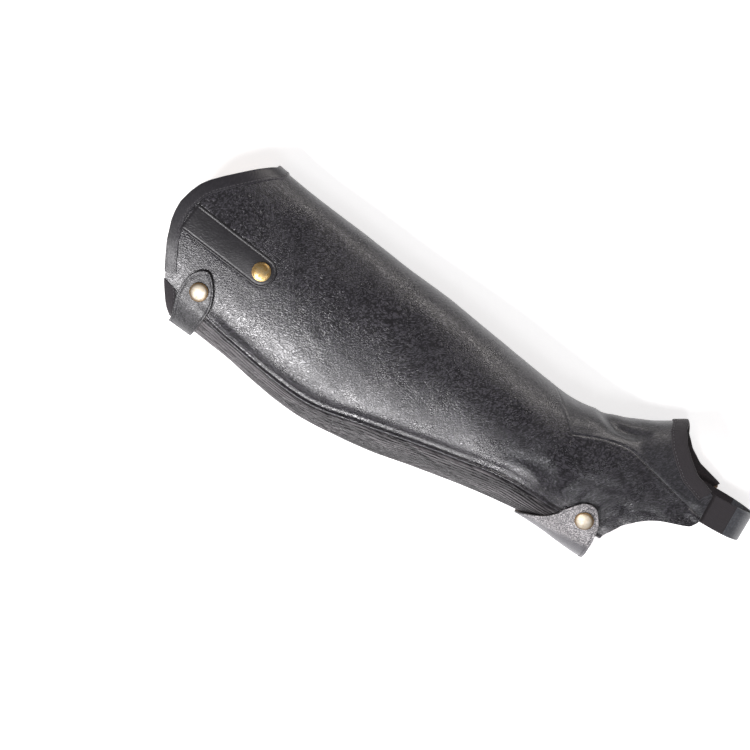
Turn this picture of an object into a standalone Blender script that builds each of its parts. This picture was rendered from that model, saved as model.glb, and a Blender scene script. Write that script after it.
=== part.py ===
"""A zipped leather half chap for the right leg, lying on its inner side.

+X runs down the leg from knee to foot, +Y to the shin, -Y to the calf and the
zip, and +Z up from the inner side, which rests, to the outer side. The leg is
a hollow tube given by sections across X. A place on it is (x, share): the
share of the girth from the shin, over the outer side, to the calf and back.
"""
import functools
import math

import bmesh
import bpy
import numpy as np
from mathutils import Matrix, Vector

MM = 0.001

# Middle of the whole part in the tables' coordinates, which becomes the origin
MIDDLE = Vector((1.95, 0.86, 0)) * MM

# Thicknesses and gaps
WALL = 1.8 * MM
GAP = 0.3 * MM
CLEAR = 0.5 * MM
EDGE_CLEAR = 0.8 * MM
BINDING = 1.2 * MM
OVERLAY = 1.5 * MM
ELASTIC = 1.3 * MM

# Sections of the leg tube: x, back y, front y, height of the outer side
SECTIONS = MM * np.array([
    (-262, -60, 93, 54),
    (-220, -64, 85, 56),
    (-196, -66, 81, 57),
    (-170, -70, 77, 58),
    (-132, -77, 72, 60),
    (-84, -82, 65, 63),
    (-36, -78, 59.5, 67),
    (13, -70, 51, 72),
    (65, -63, 42.5, 74),
    (95, -60, 40, 71),
    (123, -58.5, 45, 63),
    (152, -58, 54, 59),
    (180, -57, 70, 56),
    (232, -52, 92, 50),
])
# Height of the underside: x, z. The overlays at both ends lift it off the floor.
UNDERSIDE = MM * np.array([
    (-262, 3.7), (-192, 3.7), (-165, 0), (64, 0), (88, 2.7), (232, 2.7),
])
TOP_FULLNESS = 2.15
BOTTOM_FULLNESS = 2.7
FLOOR_SINK = 2.5 * MM
FLOOR_BLEND = 1.0 * MM
RING_POINTS = 240
FOLD_CLOSENESS = 0.6
EDGE_CLOSENESS = 0.5

# Seam between the main panel and the stretch panel, on the outer side: x, y
RIDGE = MM * np.array([
    (-250, -36), (-235, -41), (-212, -47), (-191, -53), (-159, -60), (-128, -66),
    (-89, -69), (-47, -62), (3, -53), (37, -47), (71, -42), (123, -43), (165, -45),
])
RIDGE_RISE = 1.1 * MM
RIDGE_WIDTH = 3.0 * MM
RELIEF_FROM = 13 * MM
RELIEF_FULL = 24 * MM
STRETCH_WIDTH = 37.0 * MM
ZIP_OPENING = 7.4 * MM

# Knee edge on the outer side: x, y
KNEE_EDGE = MM * np.array([
    (-205, 80), (-209.5, 77.3), (-219.5, 69.3), (-228.4, 61.3), (-237.3, 53.2), (-246.2, 44.2),
    (-250.9, 37.7), (-254.6, 29.3), (-257.5, 18.7), (-257.5, 10.2), (-256.5, 2.5), (-251.7, -13.2),
    (-245, -28), (-237.4, -43), (-229.2, -55.5), (-222, -63),
])
# Knee edge on the inner side: x in mm, share of the girth
KNEE_EDGE_INNER = np.array([
    (-220, 0.53), (-216, 0.60), (-207, 0.70), (-203, 0.82), (-204, 0.92),
])
# Foot edge: x, y on the outer side
FOOT_EDGE = MM * np.array([
    (180, 70), (182, 62), (188, 52), (197, 43), (207, 35), (218, 31), (226.5, 28),
    (227, 3), (222, -4.5), (204, -9), (192, -15), (184, -21), (175, -30), (168, -41),
    (163, -50), (161, -57),
])
# How far the inner side's edge lies forward of it: y on the outer side, x shift, y shift
FOOT_SHIFT = MM * np.array([
    (0, 0, 0), (28, 4.0, 10.0), (35, 1.0, 10.0), (43, -0.5, 10.0), (60, -0.5, 10.0), (70, 0, 0),
])
HEEL_END = 161 * MM

# Ankle gusset: its upper seam from the shin to the corner, then its lower seam
GUSSET_POINT = 68 * MM
GUSSET_CORNER = 103 * MM
GUSSET_SEAM = MM * np.array([
    (95, 11), (103, 13.5), (115, 18), (126, 22), (138, 25), (152, 26), (173, 21),
    (195, 15), (219, 9), (232, 6),
])

# Rows and columns of the wall's mesh
LEG_ROWS = 18
ANKLE_ROWS = 9
FOOT_CROWDING = 1.5
MEDIAL_COLUMNS = 13
GUSSET_COLUMNS = 19
LATERAL_COLUMNS = 10
RIM_STATIONS = 45
INSTEP_STATIONS = 37
KNEE_REACH = (-275 * MM, -150 * MM)
FOOT_REACH = (100 * MM, 240 * MM)
KNEE_PLACE = -220 * MM

# Edge bindings
INSTEP_CORNER = (226 * MM, 29.5 * MM)
RIM_WIDTH = 9.6 * MM
INSTEP_WIDTH = 10.5 * MM
STRETCH_RIM_WIDTH = 9.0 * MM

# Stretch panel's lengthwise ribs
RIB_COUNT = 10
RIB_HEIGHT = 1.1 * MM
PLAIN_STRIP = 6.0 * MM

# Decorative strip from the knee edge to its cap
STRIP_START = Vector((-249, 12)) * MM
STRIP_END = Vector((-174, 2)) * MM
STRIP_WIDTH = 24.0 * MM
STRIP_LEAD = 5.0 * MM

# Snap caps and the studs under them
CAP_RADIUS = 7.75 * MM
CAP_HEIGHT = 3.2 * MM
STUD_RADIUS = 4.5 * MM

# Knee tab: distance from the zip round the girth, first and last x, stand-off
TAB = MM * np.array([
    (16, -219.5, -198.5, 3.3),
    (24, -219.8, -197.5, 3.2),
    (32, -222, -196.3, 3.0),
    (39, -223.7, -195.3, 2.8),
    (47, -224, -194.5, 2.5),
    (52, -223.5, -194.8, 2.3),
    (58, -221.9, -196.8, 2.2),
    (63, -219.2, -199.6, 2.2),
    (66.3, -216.5, -202.7, 2.2),
    (69, -213, -206.2, 2.2),
    (70, -210.8, -208.4, 2.2),
])
TAB_SNAP = (-209 * MM, 53.3 * MM)
TAB_BRIDGE = MM * np.array([
    (-28, -216, -201, 0.5),
    (-16, -218, -200, 0.5),
    (-8, -219.5, -200, 2.2),
    (0, -220, -200, 3.4),
    (8, -220, -200, 3.4),
    (15.7, -220, -200, 3.3),
])
TAB_PATCH = MM * np.array([
    (-38, -212.5, -206, 2.1),
    (-36, -214.5, -202.5, 2.1),
    (-31, -216, -199.5, 2.1),
    (-24, -217, -198.5, 2.1),
    (-16.5, -218, -198.5, 2.1),
])

# Heel flap, in the same columns, with its stand-off at the first and at the last x
HEEL_FLAP = MM * np.array([
    (-60, 126, 138, 0.5, 0.5),
    (-57, 121, 145, 0.5, 0.5),
    (-50, 115, 151, 0.5, 0.5),
    (-38, 109, 155, 0.5, 0.5),
    (-24, 102, 158, 1.0, 1.4),
    (-10, 97.5, 160.5, 2.0, 5.0),
    (4, 96, 161.3, 2.2, 9.5),
    (14, 99, 161.5, 2.4, 9.0),
    (23, 108.5, 161.5, 2.6, 6.5),
    (30, 117, 161.3, 2.8, 4.8),
    (38, 124.5, 160.5, 2.9, 3.6),
    (47.5, 130.5, 158.7, 2.8, 2.9),
    (52, 134.5, 156.7, 2.7, 2.7),
    (56, 139, 153.3, 2.7, 2.7),
    (59, 144.5, 148.5, 2.6, 2.6),
])
FLAP_SNAP = (146.6 * MM, 46.2 * MM)

# Zip
TAPE_WIDTH = 11.0 * MM
TAPE = 0.8 * MM
CHAIN_WIDTH = 6.0 * MM
CHAIN_TOP = 0.6 * MM
ZIP_TOP = -222 * MM
ZIP_BOTTOM = 159 * MM
SLIDER_PLACE = -212 * MM
SLIDER_SIZE = (11 * MM, 8.5 * MM, 1.2 * MM)
PULL_SIZE = (20 * MM, 5.5 * MM, 1.0 * MM)

# Stirrup strap under the boot: route x, z of its outer face past the foot edge, and its
# lean toward the front
STRAP_WIDTH = 25.0 * MM
STRAP_MIDDLE_Y = 16.5 * MM
STRAP_SEWN = 20 * MM
STRAP_DEPTH = 4.4 * MM
STRAP_LOOP = MM * np.array([
    (237, 45.5, 0), (248.5, 43.5, 0.3), (256.5, 38.5, 1), (261.7, 31, 2), (263.5, 23, 3),
    (261.7, 15.5, 4), (255.5, 10, 5), (246.3, 7.8, 5.7), (236, 7.2, 6),
])
STRAP_LEATHER_FROM, STRAP_LEATHER_TO = 1, 7

COLLECTION = "half_chap"
# Finishes: colour, roughness, metallic
LEATHER = ((0.030, 0.028, 0.033), 0.48, 0.0)
SMOOTH_LEATHER = ((0.026, 0.025, 0.030), 0.42, 0.0)
ELASTIC_CLOTH = ((0.020, 0.017, 0.017), 0.85, 0.0)
BRASS = ((0.48, 0.33, 0.17), 0.28, 1.0)
ZIP_PLASTIC = ((0.012, 0.012, 0.013), 0.45, 0.0)
ZIP_CLOTH = ((0.015, 0.015, 0.016), 0.9, 0.0)


# The tube's surface

def along(table, x, column=1):
    """Smooth value of a table's column at x, straight on past its ends."""
    xs, values = table[:, 0], table[:, column]
    slopes = np.gradient(values, xs)
    row = int(np.clip(np.searchsorted(xs, x) - 1, 0, len(xs) - 2))
    step = xs[row + 1] - xs[row]
    t = (x - xs[row]) / step
    if t < 0:
        return values[0] + slopes[0] * (x - xs[0])
    if t > 1:
        return values[-1] + slopes[-1] * (x - xs[-1])
    start = (2 * t ** 3 - 3 * t ** 2 + 1) * values[row] + (t ** 3 - 2 * t ** 2 + t) * step * slopes[row]
    end = (3 * t ** 2 - 2 * t ** 3) * values[row + 1] + (t ** 3 - t ** 2) * step * slopes[row + 1]
    return start + end


@functools.lru_cache(maxsize=None)
def ring(x):
    """The section at x: its y, z, share of the girth at each point, and girth."""
    back, front, height = (along(SECTIONS, x, column) for column in (1, 2, 3))
    under = np.interp(x, UNDERSIDE[:, 0], UNDERSIDE[:, 1])
    middle, half = (front + back) / 2, (front - back) / 2
    widest = (under + height) / 2
    angle = np.linspace(0, 2 * math.pi, RING_POINTS + 1)
    cosine, sine = np.cos(angle), np.sin(angle)
    fullness = np.where(sine >= 0, TOP_FULLNESS, BOTTOM_FULLNESS)
    y = middle + half * np.sign(cosine) * np.abs(cosine) ** (2 / fullness)
    rise = (height - widest) * np.abs(sine) ** (2 / TOP_FULLNESS)
    fall = (widest - under + FLOOR_SINK) * np.abs(sine) ** (2 / BOTTOM_FULLNESS)
    clear = np.where(sine >= 0, widest + rise, widest - fall) - under
    blend = (clear + FLOOR_BLEND) ** 2 / (4 * FLOOR_BLEND)
    soft = np.where(clear > FLOOR_BLEND, clear, np.where(clear < -FLOOR_BLEND, 0, blend))
    z = under + soft
    length = np.concatenate([[0], np.cumsum(np.hypot(np.diff(y), np.diff(z)))])
    return y, z, length / length[-1], length[-1]


def girth(x):
    return ring(x)[3]


def share_at(x, y, inner=False):
    """Share of the girth where the outer or inner side passes y."""
    ys, _, shares, _ = ring(x)
    half = RING_POINTS // 2
    if inner:
        return float(np.interp(y, ys[half:], shares[half:])) - 1
    return float(np.interp(-y, -ys[:half + 1], shares[:half + 1]))


def on_ring(x, share):
    ys, zs, shares, _ = ring(x)
    place = Vector((x, np.interp(share % 1, shares, ys), np.interp(share % 1, shares, zs)))
    return place - MIDDLE


def normal(x, share):
    """Outward direction, from neighbours 1.5 mm along and 1 % of the girth round."""
    across = on_ring(x, share + 0.01) - on_ring(x, share - 0.01)
    down = on_ring(x + 1.5 * MM, share) - on_ring(x - 1.5 * MM, share)
    return across.cross(down).normalized()


def point(x, share, out=0.0):
    return on_ring(x, share) + normal(x, share) * out


# Seams and edges on the surface

def ridge_share(x):
    return share_at(x, along(RIDGE, x))


def zip_share(x):
    return ridge_share(x) + (STRETCH_WIDTH + ZIP_OPENING / 2) / girth(x)


def gusset_share(x, inner=False):
    """The gusset's lower seam, and straight on toward the knee from its corner."""
    place = max(x, GUSSET_CORNER)
    return share_at(place, along(GUSSET_SEAM, place), inner)


def edge_table(rows):
    return np.array(sorted(rows))


@functools.lru_cache(maxsize=None)
def knee_rows():
    outer = [(share_at(x, y), x) for x, y in KNEE_EDGE]
    inner = [(share - 1, x * MM) for x, share in KNEE_EDGE_INNER]
    after_zip = [(share + 1, x) for share, x in inner[:1]]
    return edge_table(outer + inner + after_zip)


@functools.lru_cache(maxsize=None)
def foot_rows():
    outer = [(share_at(x, y), x) for x, y in FOOT_EDGE]
    inner = []
    for x, y in FOOT_EDGE[1:]:
        shift_x, shift_y = (np.interp(y, FOOT_SHIFT[:, 0], FOOT_SHIFT[:, k]) for k in (1, 2))
        inner.append((share_at(x, y + shift_y, inner=True), x + shift_x))
    heel = [(0.5 + 0.012 * step, HEEL_END) for step in range(1, 8)]
    heel += [(-0.5 + 0.02 * step, HEEL_END) for step in range(2)]
    return edge_table(outer + inner + heel)


def knee_edge(share):
    rows = knee_rows()
    return float(np.interp(share, rows[:, 0], rows[:, 1]))


def foot_edge(share):
    rows = foot_rows()
    return float(np.interp(share, rows[:, 0], rows[:, 1]))


@functools.lru_cache(maxsize=None)
def bend_measure(x):
    """Girth share and turned angle together, at shares from -1 to 2 of a section."""
    ys, zs, shares, _ = ring(x)
    angle = np.unwrap(np.arctan2(np.diff(zs), np.diff(ys))) / (2 * math.pi)
    middle = (shares[1:] + shares[:-1]) / 2
    mixed = (1 - FOLD_CLOSENESS) * middle + FOLD_CLOSENESS * angle
    return (np.concatenate([middle - 1, middle, middle + 1]),
            np.concatenate([mixed - 1, mixed, mixed + 1]))


def folded(first, last, count, x):
    """Shares from first to last, closer together where the section at x bends."""
    shares, measure = bend_measure(x)
    ends = np.interp([first, last], shares, measure)
    return np.interp(np.linspace(*ends, count), measure, shares)


def folded_parts(first, last, count, x):
    """Parts 0 to 1 between two seams, placed as folded does at x."""
    low, high = first(x), last(x)
    return (folded(low, high, count, x) - low) / (high - low)


def meet(edge, share_of_x, reach):
    """The x where a line down the leg crosses an edge, found by halving its reach."""
    low, high = reach
    for _ in range(30):
        x = (low + high) / 2
        if edge(share_of_x(x)) > x:
            low = x
        else:
            high = x
    return x


def gusset_tip_x(part):
    """The upper seam's x: part is 0 at the shin and 1 at the corner."""
    return GUSSET_POINT + (GUSSET_CORNER - GUSSET_POINT) * min(1.0, abs(part)) ** 1.15


# Building solids from rows of places on the surface

def material(name, finish):
    colour, roughness, metallic = finish
    made = bpy.data.materials.new(name)
    made.use_nodes = True
    shader = made.node_tree.nodes["Principled BSDF"]
    shader.inputs["Base Color"].default_value = (*colour, 1)
    shader.inputs["Roughness"].default_value = roughness
    shader.inputs["Metallic"].default_value = metallic
    return made


def add_object(name, mesh, finish, place=None):
    made = bpy.data.objects.new(name, mesh)
    if place is not None:
        made.matrix_world = place
    bpy.data.collections[COLLECTION].objects.link(made)
    mesh.materials.append(material(name, finish))
    mesh.shade_smooth()
    mesh.set_sharp_from_angle(angle=math.radians(50))
    return made


def two_skins(name, blocks, finish):
    """A closed wall: each block is a grid of (outer point, inner point) pairs."""
    index, outer, inner, faces = {}, [], [], []
    for block in blocks:
        ids = []
        for line in block:
            ids.append([])
            for top, bottom in line:
                key = tuple(round(value * 1e5) for value in (*top, *bottom))
                if key not in index:
                    index[key] = len(outer)
                    outer.append(top)
                    inner.append(bottom)
                ids[-1].append(index[key])
        for one, two in zip(ids, ids[1:]):
            for a, b, c, d in zip(one, one[1:], two[1:], two):
                face = tuple(dict.fromkeys((a, b, c, d)))
                if len(face) > 2:
                    faces.append(face)
    count = len(outer)
    edges = {}
    for face in faces:
        for a, b in zip(face, face[1:] + face[:1]):
            edges[(a, b)] = True
    rim = [(b, a, a + count, b + count) for a, b in edges if (b, a) not in edges]
    back = [tuple(i + count for i in reversed(face)) for face in faces]
    mesh = bpy.data.meshes.new(name)
    mesh.from_pydata(outer + inner, [], faces + back + rim)
    work = bmesh.new()
    work.from_mesh(mesh)
    bmesh.ops.recalc_face_normals(work, faces=work.faces)
    work.to_mesh(mesh)
    work.free()
    return add_object(name, mesh, finish)


def pair(x, share, outer=0.0, inner=-WALL):
    return point(x, share, outer), point(x, share, inner)


def spread(start, end, count):
    return np.linspace(start, end, count)


def cross_strip(name, table, finish, thickness, columns=7, rows=None):
    """A strip that runs round the leg: distance from the zip, x range, stand-off at its ends."""
    places = table[:, 0] if rows is None else spread(table[0, 0], table[-1, 0], rows)
    block = []
    for place in places:
        first, last, near, far = (np.interp(place, table[:, 0], table[:, k]) for k in (1, 2, 3, -1))
        line = []
        for x, stand in zip(spread(first, last, columns), spread(near, far, columns)):
            share = zip_share(x) - place / girth(x)
            line.append(pair(x, share, stand + thickness, stand))
        block.append(line)
    return two_skins(name, [block], finish)


def stations(edge, first, last, count):
    """Places along an edge by its length, closer together where it bends."""
    fine = np.linspace(first, last, RING_POINTS)
    xs = np.array([edge(share) for share in fine])
    x = float(xs.mean())
    bend = np.interp(fine, *bend_measure(x))
    run = np.hypot(np.diff(xs), np.diff(fine) * girth(x)) + np.diff(bend) * girth(x) * EDGE_CLOSENESS
    measure = np.concatenate([[0], np.cumsum(run)])
    found = np.interp(np.linspace(0, measure[-1], count), measure, fine)
    return [(edge(share), share) for share in found]


def edge_binding(name, places, into, width, finish, keep=None):
    """A strip folded over an edge: outer leaf, fold and inner leaf."""
    fold = -EDGE_CLEAR - BINDING
    half = width / 2
    upper, lower = EDGE_CLEAR, -WALL - EDGE_CLEAR
    top, bottom = upper + BINDING, lower - BINDING
    profile_out = [(width, top), (half, top), (fold, top), (fold, bottom), (half, bottom), (width, bottom)]
    profile_in = [(width, upper), (half, upper), (-EDGE_CLEAR, upper),
                  (-EDGE_CLEAR, lower), (half, lower), (width, lower)]
    block = []
    for number, (x, share) in enumerate(places):
        before = places[max(number - 1, 0)]
        after = places[min(number + 1, len(places) - 1)]
        run = Vector((after[0] - before[0], (after[1] - before[1]) * girth(x))).normalized()
        inward = Vector((run.y, -run.x)) * into
        line = []
        for (d_out, o_out), (d_in, o_in) in zip(profile_out, profile_in):
            ends = []
            for d, o in ((d_out, o_out), (d_in, o_in)):
                x_there, share_there = x + inward.x * d, share + inward.y * d / girth(x)
                if keep:
                    share_there = keep(x_there, share_there)
                ends.append(point(x_there, share_there, o))
            line.append(tuple(ends))
        block.append(line)
    return two_skins(name, [block], finish)


# Leather and stretch panels

def panel_lines(lines, start, end, rows, offset=None, crowding=1.0):
    """Rows of pairs: lines are share functions, start and end their x values."""
    block = []
    for t in 1 - (1 - spread(0, 1, rows)) ** crowding:
        row = []
        for share_of_x, first, last in zip(lines, start, end):
            x = first + (last - first) * t
            share = share_of_x(x)
            rise = offset(x, share) if offset else 0.0
            row.append(pair(x, share, rise))
        block.append(row)
    return block


def between(first, second, parts, inset_first=0.0, inset_second=0.0):
    """Share functions at even parts between two seams, each seam inset by a gap."""
    def line(part):
        def share_of_x(x):
            low = first(x) + inset_first / girth(x)
            high = second(x) - inset_second / girth(x)
            return low + (high - low) * part
        return share_of_x
    return [line(part) for part in parts]


def relief(x, share):
    """Raised forms start below the knee binding: 0 under it, 1 well below it."""
    below = x - knee_edge(share)
    return min(1.0, max(0.0, (below - RELIEF_FROM) / (RELIEF_FULL - RELIEF_FROM)))


def ridge_rise(x, share):
    """The main panel's edge is turned in and stands up along the ridge seam."""
    distance = (ridge_share(x) - share) * girth(x)
    if distance < 0:
        return 0.0
    return RIDGE_RISE * max(0.0, 1 - distance / RIDGE_WIDTH) * relief(x, share)


def medial_zip(x):
    return zip_share(x) - 1 + ZIP_OPENING / 2 / girth(x)


def medial_seam(x):
    return gusset_share(x, inner=True)


def gusset_parts():
    return folded_parts(medial_seam, gusset_share, GUSSET_COLUMNS, GUSSET_CORNER)


def build_main_panel():
    """One piece from the zip round the shin to the ridge seam, notched for the gusset."""
    medial = folded_parts(medial_zip, medial_seam, MEDIAL_COLUMNS, 0.0)
    lateral = folded_parts(gusset_share, ridge_share, LATERAL_COLUMNS, 0.0)
    turned_edge = 1 - RIDGE_WIDTH / ((ridge_share(0.0) - gusset_share(0.0)) * girth(0.0))
    lateral = [*lateral[:-1] * turned_edge, turned_edge, 1]
    tips = [gusset_tip_x(2 * part - 1) for part in gusset_parts()]
    stretches = [
        (between(medial_zip, medial_seam, medial), None),
        (between(medial_seam, gusset_share, gusset_parts()), tips),
        (between(gusset_share, ridge_share, lateral, inset_second=GAP / 2), None),
    ]
    blocks = []
    for lines, ends in stretches:
        tops = [meet(knee_edge, line, KNEE_REACH) for line in lines]
        corner = ends or [GUSSET_CORNER] * len(lines)
        blocks.append(panel_lines(lines, tops, corner, LEG_ROWS, ridge_rise))
        if not ends:
            feet = [meet(foot_edge, line, FOOT_REACH) for line in lines]
            blocks.append(panel_lines(lines, corner, feet, ANKLE_ROWS, ridge_rise, FOOT_CROWDING))
    two_skins("main_panel", blocks, LEATHER)


def build_gusset():
    lines = between(medial_seam, gusset_share, gusset_parts(), GAP, GAP)
    starts = [gusset_tip_x(2 * part - 1) + 1.6 * GAP for part in gusset_parts()]
    ends = [meet(foot_edge, line, FOOT_REACH) for line in lines]
    rows = panel_lines(lines, starts, ends, ANKLE_ROWS, crowding=FOOT_CROWDING)
    two_skins("ankle_gusset", [rows], LEATHER)


def build_stretch_panel():
    """Lengthwise ribs are raised in its outer points, over a plain inside."""
    zip_edge = lambda x: zip_share(x) - ZIP_OPENING / 2 / girth(x)
    ribbed = 1 - PLAIN_STRIP / STRETCH_WIDTH
    parts = [*spread(0, ribbed, 2 * RIB_COUNT + 1), 1]
    lines = between(ridge_share, zip_edge, parts, inset_first=GAP / 2)
    tops = [meet(knee_edge, line, KNEE_REACH) for line in lines]

    def rib(x, share):
        part = (share - ridge_share(x)) / (zip_edge(x) - ridge_share(x))
        number = round(part / ribbed * 2 * RIB_COUNT)
        raised = number % 2 == 1 and part <= ribbed
        return RIB_HEIGHT * relief(x, share) if raised else 0.0

    corner, heel = [GUSSET_CORNER] * len(lines), [HEEL_END] * len(lines)
    leg = panel_lines(lines, tops, corner, LEG_ROWS, rib)
    ankle = panel_lines(lines, corner, heel, ANKLE_ROWS, rib, FOOT_CROWDING)
    two_skins("stretch_panel", [leg, ankle], LEATHER)


def build_bindings():
    ridge_end = ridge_share(meet(knee_edge, ridge_share, KNEE_REACH))
    seam = (RIDGE_WIDTH + GAP) / girth(KNEE_PLACE)
    patch_end = zip_share(ZIP_TOP) - 1 - TAB_PATCH[0, 0] / girth(ZIP_TOP) + seam
    places = stations(knee_edge, patch_end, ridge_end - seam, RIM_STATIONS)
    edge_binding("top_rim", places, 1, RIM_WIDTH, SMOOTH_LEATHER,
                 lambda x, share: min(share, ridge_share(x) - seam))
    stretch_end = zip_share(ZIP_TOP) - ZIP_OPENING / 2 / girth(ZIP_TOP)
    places = stations(knee_edge, ridge_end + seam / 4, stretch_end, 11)
    edge_binding("stretch_binding", places, 1, STRETCH_RIM_WIDTH, ELASTIC_CLOTH,
                 lambda x, share: max(share, ridge_share(x) + seam / 4))
    corner_x, corner_y = INSTEP_CORNER
    lateral_end = share_at(corner_x, corner_y)
    medial_end = share_at(corner_x, corner_y, inner=True)
    places = stations(foot_edge, medial_end, lateral_end, INSTEP_STATIONS)
    edge_binding("instep_binding", places, -1, INSTEP_WIDTH, ELASTIC_CLOTH)


# Strip, tab and flap

def build_strip():
    """A flat strip with a round end, laid on the outer side from the knee rim."""
    axis = STRIP_END - STRIP_START
    length = axis.length
    direction = axis.normalized()
    side = Vector((-direction.y, direction.x))
    half = STRIP_WIDTH / 2
    block = []
    turns = [half * math.sin(math.radians(angle)) for angle in (25, 45, 62, 76, 86)]
    for place in [*spread(STRIP_LEAD, length, 8), *(length + turn for turn in turns)]:
        past = max(0.0, place - length)
        reach = math.sqrt(max(half ** 2 - past ** 2, 0))
        line = []
        for part in spread(-1, 1, 7):
            flat = STRIP_START + direction * place + side * (reach * part)
            line.append(pair(flat.x, share_at(flat.x, flat.y), CLEAR + OVERLAY, CLEAR))
        block.append(line)
    two_skins("spur_strip", [block], SMOOTH_LEATHER)


def surface_place(x, share, out):
    """Matrix with Z along the surface normal and X down the leg."""
    up = normal(x, share)
    down = (on_ring(x + MM, share) - on_ring(x - MM, share)).normalized()
    side = up.cross(down).normalized()
    down = side.cross(up)
    place = Matrix((down, side, up)).transposed().to_4x4()
    place.translation = point(x, share, out)
    return place


def turned(name, profile, finish, place, steps=24):
    """A turned solid: the profile runs from the axis down its outer side and back."""
    mesh = bpy.data.meshes.new(name)
    edges = [(number, number + 1) for number in range(len(profile) - 1)]
    mesh.from_pydata([(radius, 0, height) for radius, height in profile], edges, [])
    made = add_object(name, mesh, finish, place)
    screw = made.modifiers.new("turn", "SCREW")
    screw.steps = steps
    screw.render_steps = steps
    screw.use_merge_vertices = True
    screw.merge_threshold = 0.00001
    screw.use_smooth_shade = True
    return made


def build_snap(name, x, share, stand, base=GAP, clear=GAP):
    """Domed cap on the leather, and the stud between the leather and the panel."""
    r, h = CAP_RADIUS, CAP_HEIGHT
    dome = [(0, h), (0.5 * r, 0.96 * h), (0.82 * r, 0.77 * h), (r, 0.3 * h), (0.97 * r, 0), (0, 0)]
    turned(name + "_cap", dome, BRASS, surface_place(x, share, stand + OVERLAY + GAP))
    height = stand - clear - base
    if height > GAP:
        stud = [(0, height), (STUD_RADIUS, height), (STUD_RADIUS, 0), (0, 0)]
        turned(name + "_stud", stud, BRASS, surface_place(x, share, base), steps=16)


def build_knee_tab():
    cross_strip("knee_tab", TAB, SMOOTH_LEATHER, OVERLAY, rows=15)
    cross_strip("tab_elastic", TAB_BRIDGE, ELASTIC_CLOTH, ELASTIC, columns=4, rows=14)
    cross_strip("elastic_patch", TAB_PATCH, LEATHER, OVERLAY, columns=6)
    x, distance = TAB_SNAP
    stand = float(np.interp(distance, TAB[:, 0], TAB[:, 3]))
    build_snap("tab", x, zip_share(x) - distance / girth(x), stand)


def build_heel_flap():
    cross_strip("heel_flap", HEEL_FLAP, LEATHER, OVERLAY, columns=8, rows=20)
    x, distance = FLAP_SNAP
    stand = float(np.interp(distance, HEEL_FLAP[:, 0], HEEL_FLAP[:, 3]))
    build_snap("flap", x, zip_share(x) - distance / girth(x), stand, RIDGE_RISE + CLEAR, CLEAR)


def build_strip_cap():
    x, y = STRIP_END
    build_snap("strip", x, share_at(x, y), CLEAR)


# Zip

def build_zip():
    half = CHAIN_WIDTH / 2
    for name, side in (("zip_tape_inner", 1), ("zip_tape_outer", -1)):
        near, far = side * GAP, side * TAPE_WIDTH
        block = []
        for x in spread(ZIP_TOP + 14 * MM, ZIP_BOTTOM, 24):
            shares = [zip_share(x) + (near + (far - near) * t) / girth(x) for t in (0, 0.5, 1)]
            block.append([pair(x, share, -WALL - EDGE_CLEAR, -WALL - EDGE_CLEAR - TAPE) for share in shares])
        two_skins(name, [block], ZIP_CLOTH)
    block = []
    for x in spread(ZIP_TOP, ZIP_BOTTOM, 27):
        shares = [zip_share(x) + half * t / girth(x) for t in (-1, 0, 1)]
        block.append([pair(x, share, CHAIN_TOP, -WALL) for share in shares])
    two_skins("zip_chain", [block], ZIP_PLASTIC)


def rounded_box(name, size, bevel, finish, place):
    bpy.ops.mesh.primitive_cube_add(size=1)
    made = bpy.context.object
    made.name = name
    made.data.name = name
    made.data.transform(Matrix.Diagonal((*size, 1)))
    made.matrix_world = place
    for holder in made.users_collection:
        holder.objects.unlink(made)
    bpy.data.collections[COLLECTION].objects.link(made)
    made.data.materials.append(material(name, finish))
    rounding = made.modifiers.new("rounded", "BEVEL")
    rounding.width = bevel
    rounding.segments = 2
    return made


def build_slider():
    """The slider's crown rides on the chain, with its pull tab lying down the leg."""
    x = SLIDER_PLACE
    crown_base = CHAIN_TOP + GAP
    place = surface_place(x, zip_share(x), crown_base + SLIDER_SIZE[2] / 2)
    rounded_box("zip_slider", SLIDER_SIZE, 0.4 * MM, ZIP_PLASTIC, place)
    x_pull = x + SLIDER_SIZE[0] / 2 + PULL_SIZE[0] / 2 + GAP
    place = surface_place(x_pull, zip_share(x_pull), crown_base + CLEAR + PULL_SIZE[2] / 2)
    rounded_box("zip_pull", PULL_SIZE, 0.35 * MM, ZIP_PLASTIC, place)


# Stirrup strap

def strap_line(x, z, lean):
    """Points across the strap on its outer face, at one place of the free loop."""
    middle, half = STRAP_MIDDLE_Y + lean, STRAP_WIDTH / 2
    return [Vector((x, middle + half * part, z)) - MIDDLE for part in spread(1, -1, 5)]


def sewn_line(x, lean, inner):
    middle, half = STRAP_MIDDLE_Y + lean, STRAP_WIDTH / 2
    line = []
    for part in spread(1, -1, 5):
        share = share_at(x, middle + half * part, inner)
        line.append(point(x, share, -STRAP_DEPTH))
    return line


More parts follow.
